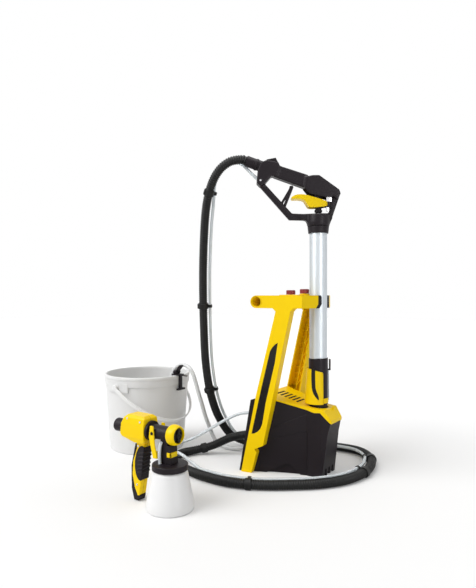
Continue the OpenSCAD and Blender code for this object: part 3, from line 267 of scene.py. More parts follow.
# a piece in its finish, with edges sharper than an angle left sharp
def newPiece(name, mesh, finish, sharp):
    piece = bpy.data.objects.new(name, mesh)
    scene.collection.objects.link(piece)
    mesh.materials.clear()
    mesh.materials.append(finishes[finish])
    mesh.polygons.foreach_set("use_smooth", [True] * len(mesh.polygons))
    mesh.set_sharp_from_angle(angle=math.radians(sharp))
    return piece


# several bmesh shapes in one piece
def pieceFrom(name, bm, finish, sharp=40.0):
    bmesh.ops.recalc_face_normals(bm, faces=bm.faces)
    mesh = bpy.data.meshes.new(name)
    bm.to_mesh(mesh)
    bm.free()
    return newPiece(name, mesh, finish, sharp)


# a curve through every point, as the solids' routes are drawn
def denseLine(points, perSpan=6):
    p = [Vector(q) for q in points]
    out = []
    for i in range(len(p) - 1):
        a, b, c, d = p[max(i - 1, 0)], p[i], p[i + 1], p[min(i + 2, len(p) - 1)]
        for j in range(perSpan):
            t = j / perSpan
            out.append(0.5 * (
                2 * b + (c - a) * t + (2 * a - 5 * b + 4 * c - d) * t ** 2
                + (3 * b - a - 3 * c + d) * t ** 3
            ))
    return out + [p[-1]]


def evenSteps(points, count):
    lengths = [0.0]
    for a, b in zip(points, points[1:]):
        lengths.append(lengths[-1] + (b - a).length)
    out, k = [], 0
    for i in range(count + 1):
        s = lengths[-1] * i / count
        while k < len(points) - 2 and lengths[k + 1] < s:
            k += 1
        span = max(lengths[k + 1] - lengths[k], 1e-12)
        out.append(points[k].lerp(points[k + 1], (s - lengths[k]) / span))
    return out


def lineLength(points):
    return sum((b - a).length for a, b in zip(points, points[1:]))


def heading(points, i):
    return (points[min(i + 1, len(points) - 1)] - points[max(i - 1, 0)]).normalized()


# frames that turn with the line and don't twist about it
def turningFrames(points):
    ahead = heading(points, 0)
    side = ahead.cross(Vector((0, 0, 1)))
    side = side.normalized() if side.length > 0.1 else ahead.cross(Vector((0, 1, 0))).normalized()
    out = []
    for i in range(len(points)):
        now = heading(points, i)
        side = ahead.rotation_difference(now) @ side
        side = (side - now * side.dot(now)).normalized()
        out.append((now, side, now.cross(side)))
        ahead = now
    return out


def ringFaces(first, rings, sides, flip=False):
    faces = []
    for i in range(rings - 1):
        for k in range(sides):
            a, b = first + i * sides + k, first + i * sides + (k + 1) % sides
            face = (a, b, b + sides, a + sides)
            faces.append(face[::-1] if flip else face)
    return faces


# a hollow tube: outer radius at each point, one bore radius
def hollowTube(name, points, radii, bore, sides, finish):
    frames = turningFrames(points)
    verts, n = [], len(points)
    for radiusAt in (lambda i: radii[i], lambda i: bore):
        for i, (_, side, up) in enumerate(frames):
            for k in range(sides):
                a = 2 * math.pi * k / sides
                verts.append(points[i] + (side * math.cos(a) + up * math.sin(a)) * radiusAt(i))
    faces = ringFaces(0, n, sides) + ringFaces(n * sides, n, sides, True)
    for first, flip in ((0, True), ((n - 1) * sides, False)):
        for k in range(sides):
            a, b = first + k, first + (k + 1) % sides
            face = (a, b, b + n * sides, a + n * sides)
            faces.append(face[::-1] if flip else face)
    mesh = bpy.data.meshes.new(name)
    mesh.from_pydata([tuple(v) for v in verts], [], faces)
    mesh.update()
    return newPiece(name, mesh, finish, 60.0)


# a turned shape: (radius, height) points about the local Z axis, open ends close on the axis
def turned(bm, matrix, profile, segments=72, closed=True):
    rows = []
    for radius, height in profile:
        if radius < 1e-6:
            rows.append([bm.verts.new(matrix @ Vector((0, 0, height * mm)))] * segments)
            continue
        ring = []
        for k in range(segments):
            a = 2 * math.pi * k / segments
            point = Vector((radius * math.cos(a), radius * math.sin(a), height))
            ring.append(bm.verts.new(matrix @ (point * mm)))
        rows.append(ring)
    pairs = list(zip(rows, rows[1:])) + ([(rows[-1], rows[0])] if closed else [])
    for low, high in pairs:
        for k in range(segments):
            n = (k + 1) % segments
            corners = []
            for v in (low[k], low[n], high[n], high[k]):
                if v not in corners:
                    corners.append(v)
            if len(corners) > 2:
                bm.faces.new(corners)


# a bar with round edges between two points of a plane, given as (along, up)
def strapBar(bm, matrix, a, b, width, half, soften=None):
    run = Vector((b[0] - a[0], 0, b[1] - a[1]))
    turn = Matrix.Rotation(-math.atan2(run.z, run.x), 4, "Y")
    place = matrix @ Matrix.Translation(Vector((a[0], 0, a[1])) * mm) @ turn
    r = width / 2
    block(bm, place, (-r, -half, -r), (run.length + r, half, r), soften or width * 0.34)


# an outline given as (along, up), drawn out from one depth to another
def prism(bm, matrix, outline, near, far):
    ends = [[bm.verts.new(matrix @ (Vector((a, d, z)) * mm)) for a, z in outline] for d in (near, far)]
    bm.faces.new(ends[0])
    bm.faces.new(ends[1][::-1])
    for k in range(len(outline)):
        n = (k + 1) % len(outline)
        bm.faces.new((ends[0][k], ends[0][n], ends[1][n], ends[1][k]))


# copies of solids, or shapes, run together and worn round, as one moulded shell
def softened(
    name, sources, voxel, passes, finish, body, middle=None, extra=None, copied=True, crown=None,
):
    bm = bmesh.new()
    for source in sources if copied else []:
        part = bmesh.new()
        part.from_mesh(nodes[source].data)
        if middle:  # let the halves overlap a little where they meet
            normal, offset = Vector(middle[0]), middle[1]
            centre = sum((v.co.dot(normal) for v in part.verts), 0.0) / len(part.verts) - offset
            for v in part.verts:
                if abs(v.co.dot(normal) - offset) < 1e-5:
                    v.co -= normal * math.copysign(0.0006, centre)
        copy = bpy.data.meshes.new("copy")
        part.to_mesh(copy)
        part.free()
        bm.from_mesh(copy)
        bpy.data.meshes.remove(copy)
    if extra:
        extra(bm)
    mesh = bpy.data.meshes.new(name)
    bm.to_mesh(mesh)
    bm.free()
    if crown:
        mesh.transform(crown[0].inverted())
    rough = bpy.data.objects.new(name + "Rough", mesh)
    scene.collection.objects.link(rough)
    remesh = rough.modifiers.new("oneSkin", "REMESH")
    remesh.mode, remesh.voxel_size = "VOXEL", voxel * mm
    smooth = rough.modifiers.new("wornRound", "SMOOTH")
    smooth.factor, smooth.iterations = 0.5, passes
    if crown:  # flat sides swell: worn round across the plane only
        swell = rough.modifiers.new("crowned", "SMOOTH")
        swell.use_x = swell.use_z = False
        swell.factor, swell.iterations = 0.5, crown[1]
    ready = rough.evaluated_get(bpy.context.evaluated_depsgraph_get())
    skin = bpy.data.meshes.new_from_object(ready)
    bpy.data.objects.remove(rough)
    if crown:
        skin.transform(crown[0])
    skin.name = name
    piece = newPiece(name, skin, finish, 180.0)
    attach(piece, body)
    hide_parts(*sources)


# hoses: the routes of the solids, in millimetres
outletEnd, outletHeight, unionEnd = -216, 70, -200
up = Vector((0, 0, 1))
lanceAcross = Vector((math.sin(lanceYaw), -math.cos(lanceYaw), 0))


# a point by its place along the handle and its height, and how far it lies behind the handle's plane
def inHandle(s, z, behind=0.0):
    return Vector((s * math.cos(lanceYaw), s * math.sin(lanceYaw), z)) - behind * lanceAcross


airHose = {
    "radius": 13.0, "root": 11.2, "bore": 9.6, "pitch": 6.4, "sides": 20, "loopSteps": 60, "riserSteps": 32,
    "rib": [(0.0, 0), (0.24, 1), (0.60, 1), (0.84, 0)],  # share of a pitch, on the crest or not
    "ribSteps": 25,
}
paintHose = {
    "radius": 4.5, "bore": 3.0, "sides": 14, "steps": 360, "clipWall": 2.5, "spare": 0.8,
    "join": 18, "leave": 30, "lift": 0.4,  # steps where it meets and leaves the air hose, rise beside it
    "swing": 8, "behindFrom": 25, "behindOver": 4,  # steps in which it changes sides on the way up
}
suctionHose = {"radius": 6.5, "bore": 4.6, "sides": 16, "steps": 170}


# a direction in the plane of the handle that falls towards its head
def falling(slope):
    return inHandle(math.cos(math.radians(slope)), -math.sin(math.radians(slope)))


cuffAxis = falling(20)
cuffEnd = inHandle(-163, 875) - cuffAxis * 46
paintAxis = falling(45)
paintEntry = inHandle(-172, 836)

airLoopRoute = [
    (outletEnd, 0, outletHeight), (-230, 0, outletHeight), (-250, 0, outletHeight),
    (-300, -10, 55), (-352, -34, 28), (-394, -68, 15), (-412, -112, 13.3), (-398, -160, 13.3),
    (-355, -200, 13.3), (-292, -227, 13.3), (-220, -241, 13.3), (-145, -240, 13.3), (-70, -214, 13.3),
    (-4, -170, 13.3), (60, -115, 13.3),
    (106, -45, 13.3), (124, 40, 13.3), (112, 125, 13.3), (80, 185, 13.3), (28, 222, 13.3),
    (-50, 222, 13.3), (-130, 200, 13.3), (-205, 166, 13.3), (-262, 134, 13.3),
]
airRiserRoute = [
    (-262.4, 133.8, 13.3), (-296, 115, 13.3), (-330, 94, 21), (-356, 66, 46), (-366, 35, 87),
    (-368, 0, 140), (-366, -34, 215), (-362, -58, 300), (-354, -76, 390), (-344, -93, 490),
    (-332, -109, 590), (-314, -127, 690), (-295, -143, 760), (-276, -152, 808), (-257, -155, 843),
    (-238, -152, 868), (-219, -145, 884), (-202, -136, 892), cuffEnd - 12 * cuffAxis,
    cuffEnd, cuffEnd + 13.7 * cuffAxis,
]
paintExitRoute = [
    (unionEnd, -38, 150), (-212, -38, 150), (-228, -38.5, 148), (-256, -43, 139), (-303, -55, 113),
    (-350, -68, 82), (-388, -78.5, 59), (-413, -89, 47), (-429, -108, 40), (-432.5, -131, 37),
    (-423.5, -152, 36.5), (-405, -165.5, 36.5), (-376, -175, 36.5), (-342, -185, 33),
]
suctionRoute = [
    (-512, -70, 130), (-511, -69, 165), (-508, -64, 200), (-503, -58, 234), (-495.5, -56, 256),
    (-479, -55, 273), (-456, -55, 279.5), (-433.5, -55, 273.2), (-417, -55, 256.5), (-408, -53, 233),
    (-401, -46, 198), (-397, -33, 158), (-396, -14, 112), (-394, 4, 75), (-389, 14, 47), (-379, 21, 26),
    (-361, 27, 12.6), (-336, 32, 7.5), (-310, 37, 7.5), (-287, 42, 13), (-269, 45, 27.5),
    (-256, 46.8, 47), (-244.5, 48, 65), (-229, 48, 78.5), (-212, 48, 84), (unionEnd, 48, 84),
]
paintTail = [(-231, 890, 20.5), (-213, 880.5, 16), (-193.5, 858, 6)]
beside = airHose["radius"] + paintHose["clipWall"] + paintHose["radius"] + paintHose["spare"]


def innerSide(p, i):
    return (up.cross(heading(p, i)) + Vector((0, 0, paintHose["lift"]))).normalized()


# the clear hose rises on the station's side of the air hose and goes behind it at the top
def riserSide(p, i):
    rise = min(i / paintHose["swing"], 1)
    turn = max(0, min((i - paintHose["behindFrom"]) / paintHose["behindOver"], 1))
    side = heading(p, i).cross(lanceAcross).normalized()
    return ((1 - rise) * innerSide(p, i) + rise * (1 - turn) * side - turn * lanceAcross).normalized()


loopLine = evenSteps(denseLine(airLoopRoute), airHose["loopSteps"])
riserLine = evenSteps(denseLine(airRiserRoute), airHose["riserSteps"])
paintLoopLine = [Vector(p) for p in paintExitRoute] + [
    loopLine[i] + beside * innerSide(loopLine, i)
    for i in range(paintHose["join"], airHose["loopSteps"] + 1, 2)
]
paintRiserLine = [
    riserLine[i] + beside * riserSide(riserLine, i) for i in range(paintHose["leave"] + 1)
] + [inHandle(*p) for p in paintTail] + [paintEntry - 8 * paintAxis, paintEntry]


def scaled(points):
    return [p * mm for p in points]


airLine = denseLine(airLoopRoute) + denseLine(airRiserRoute)[1:]
ribCount = round(lineLength(airLine) / airHose["pitch"])
fineLine = evenSteps(airLine, ribCount * airHose["ribSteps"])
ribPoints, ribRadii = [], []
for i in range(ribCount):
    for share, crest in airHose["rib"]:
        ribPoints.append(fineLine[i * airHose["ribSteps"] + round(share * airHose["ribSteps"])])
        ribRadii.append((airHose["radius"] if crest else airHose["root"]) * mm)
ribPoints.append(fineLine[-1])
ribRadii.append(airHose["root"] * mm)
airPath = scaled(ribPoints)
airPiece = hollowTube(
    "airHose", airPath, ribRadii, airHose["bore"] * mm, airHose["sides"], "hoseBlack"
)
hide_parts("air_hose_loop", "air_hose_riser")
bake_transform(airPiece)


# a plain tube, as its dictionary gives it
def plainTube(name, path, make, finish):
    radii = [make["radius"] * mm] * len(path)
    return hollowTube(name, path, radii, make["bore"] * mm, make["sides"], finish)


paintLine = denseLine(paintLoopLine) + denseLine(paintRiserLine)[1:]
paintPath = scaled(evenSteps(paintLine, paintHose["steps"]))
paintPiece = plainTube("paintHose", paintPath, paintHose, "clearHose")
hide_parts("paint_hose_loop", "paint_hose_riser")
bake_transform(paintPiece)

suctionPath = scaled(evenSteps(denseLine(suctionRoute), suctionHose["steps"]))[::-1]
suctionPiece = plainTube("suctionHose", suctionPath, suctionHose, "milkHose")
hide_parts("suction_hose")
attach(suctionPiece, "station")

# clips: a band round the air hose, a thumb tab, and a ring that holds the clear hose
clipMake = {
    "floorSteps": [7, 13, 25, 39, 44], "riserSteps": [9, 17, 27], "width": 17.0, "wall": 2.4, "spare": 0.15,
    "gap": 34.0, "ring": (2.2, 0.2), "ringSweep": 300, "ringShare": 0.55,
    "tab": {"reach": 2.2, "root": 1.6, "half": 3.2, "low": 1.0, "high": 2.0},
}


def tubeSection(bm, matrix, outer, inner, half, start=0.0, sweep=360.0, steps=28):
    closed = sweep >= 360
    count = steps if closed else steps + 1
    rows = []
    for i in range(count):
        a = math.radians(start + sweep * i / steps)
        c, s = math.cos(a), math.sin(a)
        edge = min(0.7, half * 0.3)
        shape = [
            (inner, -half), (outer - edge, -half), (outer, -half + edge), (outer, half - edge),
            (outer - edge, half), (inner, half),
        ]
        rows.append([bm.verts.new(matrix @ (Vector((r * c, r * s, z)) * mm)) for r, z in shape])
    pairs = list(zip(rows, rows[1:])) + ([(rows[-1], rows[0])] if closed else [])
    for a, b in pairs:
        for k in range(6):
            bm.faces.new((a[k], a[(k + 1) % 6], b[(k + 1) % 6], b[k]))
    if not closed:
        bm.faces.new(rows[0])
        bm.faces.new(rows[-1][::-1])


def block(bm, matrix, low, high, soften=0.6):
    made = bmesh.ops.create_cube(bm, size=1.0)["verts"]
    low, high = Vector(low), Vector(high)
    for v in made:
        v.co = Vector([(low[k] + high[k]) / 2 + v.co[k] * (high[k] - low[k]) for k in range(3)])
    edges = list({e for v in made for e in v.link_edges})
    if soften:
        made = bmesh.ops.bevel(
            bm, geom=edges, offset=soften, segments=2, profile=0.6, affect="EDGES", clamp_overlap=True
        )["verts"] + [v for v in made if v.is_valid]
    for v in set(made):
        v.co = matrix @ (v.co * mm)


def clipAt(bm, line, i, side, floorSide):
    ahead = heading(line, i)
    across = (side - ahead * side.dot(ahead)).normalized()
    turn = Matrix((across, ahead.cross(across), ahead)).transposed().to_4x4()
    matrix = Matrix.Translation(line[i] * mm) @ turn
    r, half = airHose["radius"] + clipMake["spare"], clipMake["width"] / 2
    outer = r + clipMake["wall"]
    if floorSide:  # open towards the floor
        down = matrix.to_3x3().inverted() @ Vector((0, 0, -1))
        gapAngle = math.degrees(math.atan2(down.y, down.x))
        tubeSection(bm, matrix, outer, r, half, gapAngle + clipMake["gap"], 360 - 2 * clipMake["gap"])
    else:
        tubeSection(bm, matrix, outer, r, half)
    if i >= paintHose["join"] or not floorSide:  # the clear hose has joined the air hose
        ring = matrix @ Matrix.Translation(Vector((beside, 0, 0)) * mm)
        ringOuter, ringInner = (paintHose["radius"] + wall for wall in clipMake["ring"])
        sweep = clipMake["ringSweep"]
        tubeSection(bm, ring, ringOuter, ringInner, half * clipMake["ringShare"], -sweep / 2, sweep, 22)
    if not floorSide:
        tab = clipMake["tab"]
        block(
            bm, matrix, (-outer - tab["reach"], -tab["half"], -half + tab["low"]),
            (-r - tab["root"], tab["half"], half - tab["high"]),
        )


floorClips, riserClips = bmesh.new(), bmesh.new()
for i in clipMake["floorSteps"]:
    clipAt(floorClips, loopLine, i, innerSide(loopLine, i), True)
for i in clipMake["riserSteps"]:
    clipAt(riserClips, riserLine, i, riserSide(riserLine, i), False)
floorClipPiece = pieceFrom("floorClips", floorClips, "hoseBlack")
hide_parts("floor_clips")
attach(floorClipPiece, "station")
riserClipPiece = pieceFrom("riserClips", riserClips, "hoseBlack")
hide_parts("riser_clips")
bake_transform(riserClipPiece)

lineLength(airPath)
lineLength(paintPath)
lineLength(suctionPath)
print("hoses made,", ribCount, "ribs")

# bucket: foot ring, thin wall, deep rim band with a rolled lip, ears on wider plates
bucketMake = {
    "place": (-600, -70), "pivot": 214.0,
    "ear": {"radius": 10.0, "bore": 2.6, "low": 134.5, "high": 145.0, "round": 1.2, "boreRound": 1.0},
    "plate": {"sweep": 36.0, "low": 198.0, "high": 226.0, "radius": 141.2, "root": 135.0},
    "profile": [
        (0, 2.0), (111, 2.0), (113, 0), (118.5, 0), (120.6, 0.6), (121.9, 2.4), (122.4, 6), (135.9, 210),
        (136.2, 213.2), (137.2, 214.2), (139.4, 214.5), (140.0, 215.6), (140.3, 220), (140.9, 233),
        (141.2, 236.2), (142.0, 237.6), (142.3, 240), (142.2, 243.6), (141.2, 246), (139.4, 247),
        (136.6, 247), (134.6, 246.2), (133.6, 244), (133.3, 238), (133.0, 212), (119.8, 8), (118.8, 5.6),
        (116.4, 4.6), (0, 4.6),
    ],
}
bucketTop = Matrix.Translation(Vector((*bucketMake["place"], 0)) * mm)
bm = bmesh.new()
turned(bm, bucketTop, bucketMake["profile"], 120, False)
ear, plate = bucketMake["ear"], bucketMake["plate"]
bailPivot = bucketTop @ Matrix.Translation(Vector((0, 0, bucketMake["pivot"])) * mm)
plateMiddle = bucketTop @ Matrix.Translation(Vector((0, 0, (plate["low"] + plate["high"]) / 2)) * mm)
for side in (-1, 1):
    turned(bm, bailPivot @ Matrix.Rotation(math.radians(-90 * side), 4, "X"), [
        (ear["bore"], ear["low"]), (ear["radius"], ear["low"]), (ear["radius"], ear["high"] - ear["round"]),
        (ear["radius"] - ear["round"], ear["high"]), (ear["bore"] + ear["boreRound"], ear["high"]),
        (ear["bore"], ear["high"] - ear["boreRound"]),
    ], 32)
    tubeSection(
        bm, plateMiddle, plate["radius"], plate["root"], (plate["high"] - plate["low"]) / 2,
        90 * side - plate["sweep"] / 2, plate["sweep"], 16,
    )
bucketPiece = pieceFrom("paintBucket", bm, "bucketWhite", 30.0)
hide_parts("bucket")
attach(bucketPiece, "station")

# bail: a flat strap that hangs in the plane of its hoop, with an eyelet at each ear
bailMake = {
    "half": 150.0, "reach": 141.0, "angle": 52.0, "width": 11.5, "thick": 4.4, "steps": 64,
    "strap": [  # shares of half the width and half the thickness
        (-1, -0.4), (-0.86, -1), (0.86, -1), (1, -0.4), (1, 0.4), (0.86, 1), (0.3, 0.82), (-0.3, 0.82),
        (-0.86, 1), (-1, 0.4),
    ],
    "eyelet": [
        (0, 141.4), (2.4, 141.4), (2.4, 145.8), (7.8, 145.8), (8.6, 146.6), (8.6, 151.4), (7.8, 152.2),
        (4.2, 152.2), (3.6, 151.2), (0, 151.2),
    ],
}
bailTilt = math.radians(bailMake["angle"])
bailDrop = bailMake["reach"] / math.sin(bailTilt)
hang = Vector((math.sin(bailTilt), 0, -math.cos(bailTilt)))
wide = Vector((math.cos(bailTilt), 0, math.sin(bailTilt)))
bm = bmesh.new()
rows = []
w, h = bailMake["width"] / 2, bailMake["thick"] / 2
strapShape = [(p * w, q * h) for p, q in bailMake["strap"]]
for i in range(bailMake["steps"] + 1):
    a = math.pi * i / bailMake["steps"]
    centre = hang * (bailDrop * math.sin(a)) + Vector((0, -bailMake["half"] * math.cos(a), 0))
    run = hang * (bailDrop * math.cos(a)) + Vector((0, bailMake["half"] * math.sin(a), 0))
    out = wide.cross(run.normalized())
    rows.append([bm.verts.new(bailPivot @ ((centre + wide * p + out * q) * mm)) for p, q in strapShape])
for low, high in zip(rows, rows[1:]):
    for k in range(len(strapShape)):
        n = (k + 1) % len(strapShape)
        bm.faces.new((low[k], low[n], high[n], high[k]))
bm.faces.new(rows[0])
bm.faces.new(rows[-1][::-1])
for side in (-1, 1):
    eyelet = bailPivot @ Matrix.Rotation(math.radians(-90 * side), 4, "X")
    turned(bm, eyelet, bailMake["eyelet"], 32, False)
# the strap's finish is painted lighter than the bucket's, as if lit while the wall behind it lies in shade
bailPiece = pieceFrom("bailStrap", bm, "bailPaintedLighter", 35.0)
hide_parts("bucket_bail")
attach(bailPiece, "bail")

# clip on the bucket rim: the round head of its hinge
clipHead = {
    "place": (-470, -70, 257.5),
    "profile": [(0, 8.4), (5.6, 8.4), (6.6, 9.4), (6.6, 11.0), (5.0, 12.4), (0, 12.8)],
}
clipMiddle = Matrix.Translation(Vector(clipHead["place"]) * mm)
bm = bmesh.new()
for side in (-1, 1):
    head = clipMiddle @ Matrix.Rotation(math.radians(90 * side), 4, "X")
    turned(bm, head, clipHead["profile"], 28, False)
clipHeadPiece = pieceFrom("clipHinge", bm, "blackShell")
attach(clipHeadPiece, "station")
print("bucket made")

# lance handle: both halves as one soft shell
handlePlane = Matrix.Rotation(lanceYaw, 4, "Z")
handleMake = {"voxel": 1.2, "passes": 14, "crown": 70}
softened(
    "lanceHandle", ["handle_left", "handle_right"], handleMake["voxel"], handleMake["passes"], "blackHandle",
    "lance", (handleAcross, 0.0), crown=(handlePlane, handleMake["crown"]),
)

# trigger: two cheeks beside the valve, joined by the finger piece
triggerMake = {
    "cheek": [
        (-40.0, 773.5), (-30.0, 757.5), (-24.0, 755.5), (-8.9, 755.6), (18.0, 758.5), (25.0, 762.0),
        (30.0, 766.0), (30.0, 770.5), (24.2, 772.6), (-4.3, 782.5), (-31.8, 790.2), (-44.0, 793.0),
    ],
    "finger": [
        (-75.5, 779.4), (-61.5, 780.0), (-47.8, 778.6), (-38.6, 773.5), (-28.3, 756.5), (-19.0, 786.6),
        (-31.8, 790.4), (-50.0, 793.2), (-62.0, 792.4), (-71.0, 789.6), (-78.4, 784.6),
    ],
    "depths": (-17.0, -14.0, 14.0, 17.0), "voxel": 0.7, "passes": 5,
}


def triggerShape(bm):
    outer, inner, far, farOuter = triggerMake["depths"]
    prism(bm, handlePlane, triggerMake["cheek"], outer, inner)
    prism(bm, handlePlane, triggerMake["cheek"], far, farOuter)
    prism(bm, handlePlane, triggerMake["finger"], outer, farOuter)


softened(
    "fingerTrigger", ["lance_trigger"], triggerMake["voxel"], triggerMake["passes"], "yellowTrigger",
    "trigger", extra=triggerShape, copied=False,
)

# trigger lock: two straps that part below a common head
lockMake = {
    "straps": [((-76.0, 814.0), (-95.6, 764.0), 8.4), ((-80.5, 810.0), (-103.0, 772.0), 7.2)],
    "head": [(-85.5, 806.0), (-76.6, 803.5), (-71.6, 816.5), (-74.0, 819.5), (-82.0, 819.0)],
    "half": 3.8, "headHalf": 4.0,
}
bm = bmesh.new()
for a, b, width in lockMake["straps"]:
    strapBar(bm, handlePlane, a, b, width, lockMake["half"])
prism(bm, handlePlane, lockMake["head"], -lockMake["headHalf"], lockMake["headHalf"])
lockPiece = pieceFrom("lockStraps", bm, "blackHandle")
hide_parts("trigger_lock")
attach(lockPiece, "lock")

# the valve's steel link, in front of the trigger's pivot
linkMake = {
    "steel": [(19.5, 35.0, 771.0, 784.0), (18.5, 27.5, 743.5, 755.5)], "steelRound": 1.6,
    "shaft": (23.0, 29.0, 750.0, 776.0), "shaftRound": 1.0,
    "near": -21.6, "shaftNear": -21.1, "far": -18.0,
}
bm = bmesh.new()
for left, right, low, high in linkMake["steel"]:
    block(
        bm, handlePlane, (left, linkMake["near"], low), (right, linkMake["far"], high),
        linkMake["steelRound"],
    )
linkPiece = pieceFrom("valveLink", bm, "steel")
bm = bmesh.new()
left, right, low, high = linkMake["shaft"]
block(
    bm, handlePlane, (left, linkMake["shaftNear"], low), (right, linkMake["far"], high),
    linkMake["shaftRound"],
)
shaftPiece = pieceFrom("valveShaft", bm, "softGrip")
for piece in (linkPiece, shaftPiece):
    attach(piece, "lance")
print("handle made")

# spray head: dark stripe on the shield, small tab and rail on the sleeve
shieldCone = {"axis": -5.0, "low": (199.0, 34.0), "high": (307.0, 28.5)}
stripeMake = {
    "rows": [
        (-20.5, -13.2, 299.5), (-22.8, -13.2, 297), (-23.2, -13.2, 270), (-22.4, -12.6, 247),
        (-21.0, -10.4, 238), (-18.0, -6.5, 229), (-13.0, -3.8, 221), (-7.5, -3.4, 214.5), (-4.6, -3.4, 212.5),
    ],
    "sunk": 0.4, "proud": 0.5,
}
patchColumns = 6


def coneRadius(z):
    (z0, r0), (z1, r1) = shieldCone["low"], shieldCone["high"]
    return r0 + (r1 - r0) * (z - z0) / (z1 - z0)


# a thin patch on a round surface: each row runs from one s to another at its own height
def surfacePatch(bm, rows, radiusAt, axis, sunk, proud):
    layers, columns = [], patchColumns
    for offset in (-sunk, proud):
        grid = []
        for left, right, z in rows:
            line = []
            for k in range(columns + 1):
                s = left + (right - left) * k / columns - axis
                r = radiusAt(z)
                d = -math.sqrt(max(r * r - s * s, 0.0))
                scale = (r + offset) / r
                line.append(bm.verts.new(handlePlane @ (Vector((s * scale + axis, d * scale, z)) * mm)))
            grid.append(line)
        layers.append(grid)
    inner, outer = layers
    count = len(rows)
    for i in range(count - 1):
        for k in range(columns):
            bm.faces.new((outer[i][k], outer[i][k + 1], outer[i + 1][k + 1], outer[i + 1][k]))
            bm.faces.new((inner[i][k], inner[i + 1][k], inner[i + 1][k + 1], inner[i][k + 1]))
    last = count - 1
    border = [(0, k) for k in range(columns)] + [(i, columns) for i in range(last)]
    border += [(last, k) for k in range(columns, 0, -1)] + [(i, 0) for i in range(last, 0, -1)]
    for (i, k), (j, n) in zip(border, border[1:] + border[:1]):
        bm.faces.new((outer[i][k], inner[i][k], inner[j][n], outer[j][n]))


bm = bmesh.new()
surfacePatch(
    bm, stripeMake["rows"], coneRadius, shieldCone["axis"], stripeMake["sunk"], stripeMake["proud"]
)
stripePiece = pieceFrom("shieldStripe", bm, "blackGloss", 50.0)
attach(stripePiece, "lance")

sleeveMake = {
    "radius": 27.3, "tab": (11.0, 26.4), "tabRows": (201.0, 204.0, 212.0, 215.0), "tabSunk": 0.5,
    "tabProud": 1.4,
    "rail": {"along": 30.2, "depth": 3.0, "low": 206.0, "high": 290.0, "radius": 1.7, "round": 0.5},
    "foot": {"inset": 5.0, "root": 25.5, "over": 1.0, "half": 1.6, "tall": 3.0},
}
bm = bmesh.new()
tabRows = [(*sleeveMake["tab"], z) for z in sleeveMake["tabRows"]]
surfacePatch(
    bm, tabRows, lambda z: sleeveMake["radius"], 0.0, sleeveMake["tabSunk"], sleeveMake["tabProud"]
)
tabPiece = pieceFrom("sleeveTab", bm, "yellowShell", 50.0)
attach(tabPiece, "lance")

bm = bmesh.new()
rail, foot = sleeveMake["rail"], sleeveMake["foot"]
along, depth, low, high = rail["along"], rail["depth"], rail["low"], rail["high"]
r, edge = rail["radius"], rail["round"]
turned(bm, handlePlane @ Matrix.Translation(Vector((along, depth, 0)) * mm), [
    (0, low), (r - edge, low), (r, low + edge), (r, high - edge), (r - edge, high), (0, high),
], 20, False)
for z in (low + foot["inset"], high - foot["inset"]):
    block(
        bm, handlePlane, (foot["root"], depth - foot["half"], z - foot["tall"]),
        (along + foot["over"], depth + foot["half"], z + foot["tall"]),
    )
railPiece = pieceFrom("sleeveRail", bm, "anodised")
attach(railPiece, "lance")
print("spray head made")

# hand gun: both halves as one soft shell, ribbed grip pads, round nut, cap with horns
gunMake = {"voxel": 1.0, "passes": 12}
softened(
    "gunShell", ["gun_left", "gun_right"], gunMake["voxel"], gunMake["passes"], "yellowGun", "station",
    ((0, 1, 0), gunPlane),
)

padMake = {
    "front": ((52.0, -262.0), (144.0, -250.3)), "half": 14.0, "voxel": 0.8, "passes": 5,
    "ribs": 6, "start": 74.0, "pitch": 9.6,
    "side": {"reach": 14.0, "short": 1.0, "fall": 2.5, "width": 3.6, "half": 1.7, "round": 1.2},
    "bar": {"sunk": 1.5, "proud": 1.4, "half": 1.8, "round": 0.8},
}


# ribs across the front of the pad and a little way along both its sides
def padRibs(bm):
    (z0, x0), (z1, x1) = padMake["front"]
    y, half, rib, bar = gunPlane / mm, padMake["half"], padMake["side"], padMake["bar"]
    for k in range(padMake["ribs"]):
        z = padMake["start"] + k * padMake["pitch"]
        front = x0 + (x1 - x0) * (z - z0) / (z1 - z0)
        for side in (-1, 1):
            place = Matrix.Translation(Vector((0, y + side * half, 0)) * mm)
            strapBar(
                bm, place, (front - rib["reach"], z - rib["fall"]), (front - rib["short"], z), rib["width"],
                rib["half"], rib["round"],
            )
        block(
            bm, Matrix.Identity(4), (front - bar["sunk"], y - half, z - bar["half"]),
            (front + bar["proud"], y + half, z + bar["half"]), bar["round"],
        )


softened(
    "gunGrip", ["gun_grip_trim"], padMake["voxel"], padMake["passes"], "softGrip", "station",
    extra=padRibs,
)
leverMake = {"voxel": 0.8, "passes": 7}
softened(
    "gunLever", ["gun_trigger"], leverMake["voxel"], leverMake["passes"], "yellowTrigger",
    "gun_trigger_body",
)

nutMake = {
    "place": (-177.0, 177.0),
    "profile": [
        (17.1, 0), (20.2, 0), (21.8, 0.8), (23.6, 3), (24.4, 6.5), (24.5, 10), (24.2, 15), (23.2, 19.5),
        (21.8, 22.8), (20.6, 24.4), (19.6, 25), (18.6, 24.6), (18.1, 23), (18, 20), (18, 9.5), (17.1, 9.5),
    ],
    "cap": [
        (0, 9.7), (17.4, 9.7), (17.4, 19), (16.4, 20.6), (13.0, 20.8), (12.0, 19), (6, 18.4), (5.6, 23.5),
        (4.6, 24.6), (2.2, 24.6), (2, 21), (0, 21),
    ],
    "horns": [  # centre, half size, both across the axis; lowest and highest point, rounding
        ((13.0, 0.0), (3.2, 4.2), (17.0, 26.6), 1.2), ((8.0, 0.0), (4.0, 1.4), (17.0, 21.6), 0.5),
        ((0.0, 8.0), (1.4, 4.5), (17.0, 21.6), 0.5),
    ],
}
nutAxis = Matrix.Translation(Vector((nutMake["place"][0], gunPlane / mm, nutMake["place"][1])) * mm)
nutAxis = nutAxis @ Matrix.Rotation(math.radians(90), 4, "Y")
bm = bmesh.new()
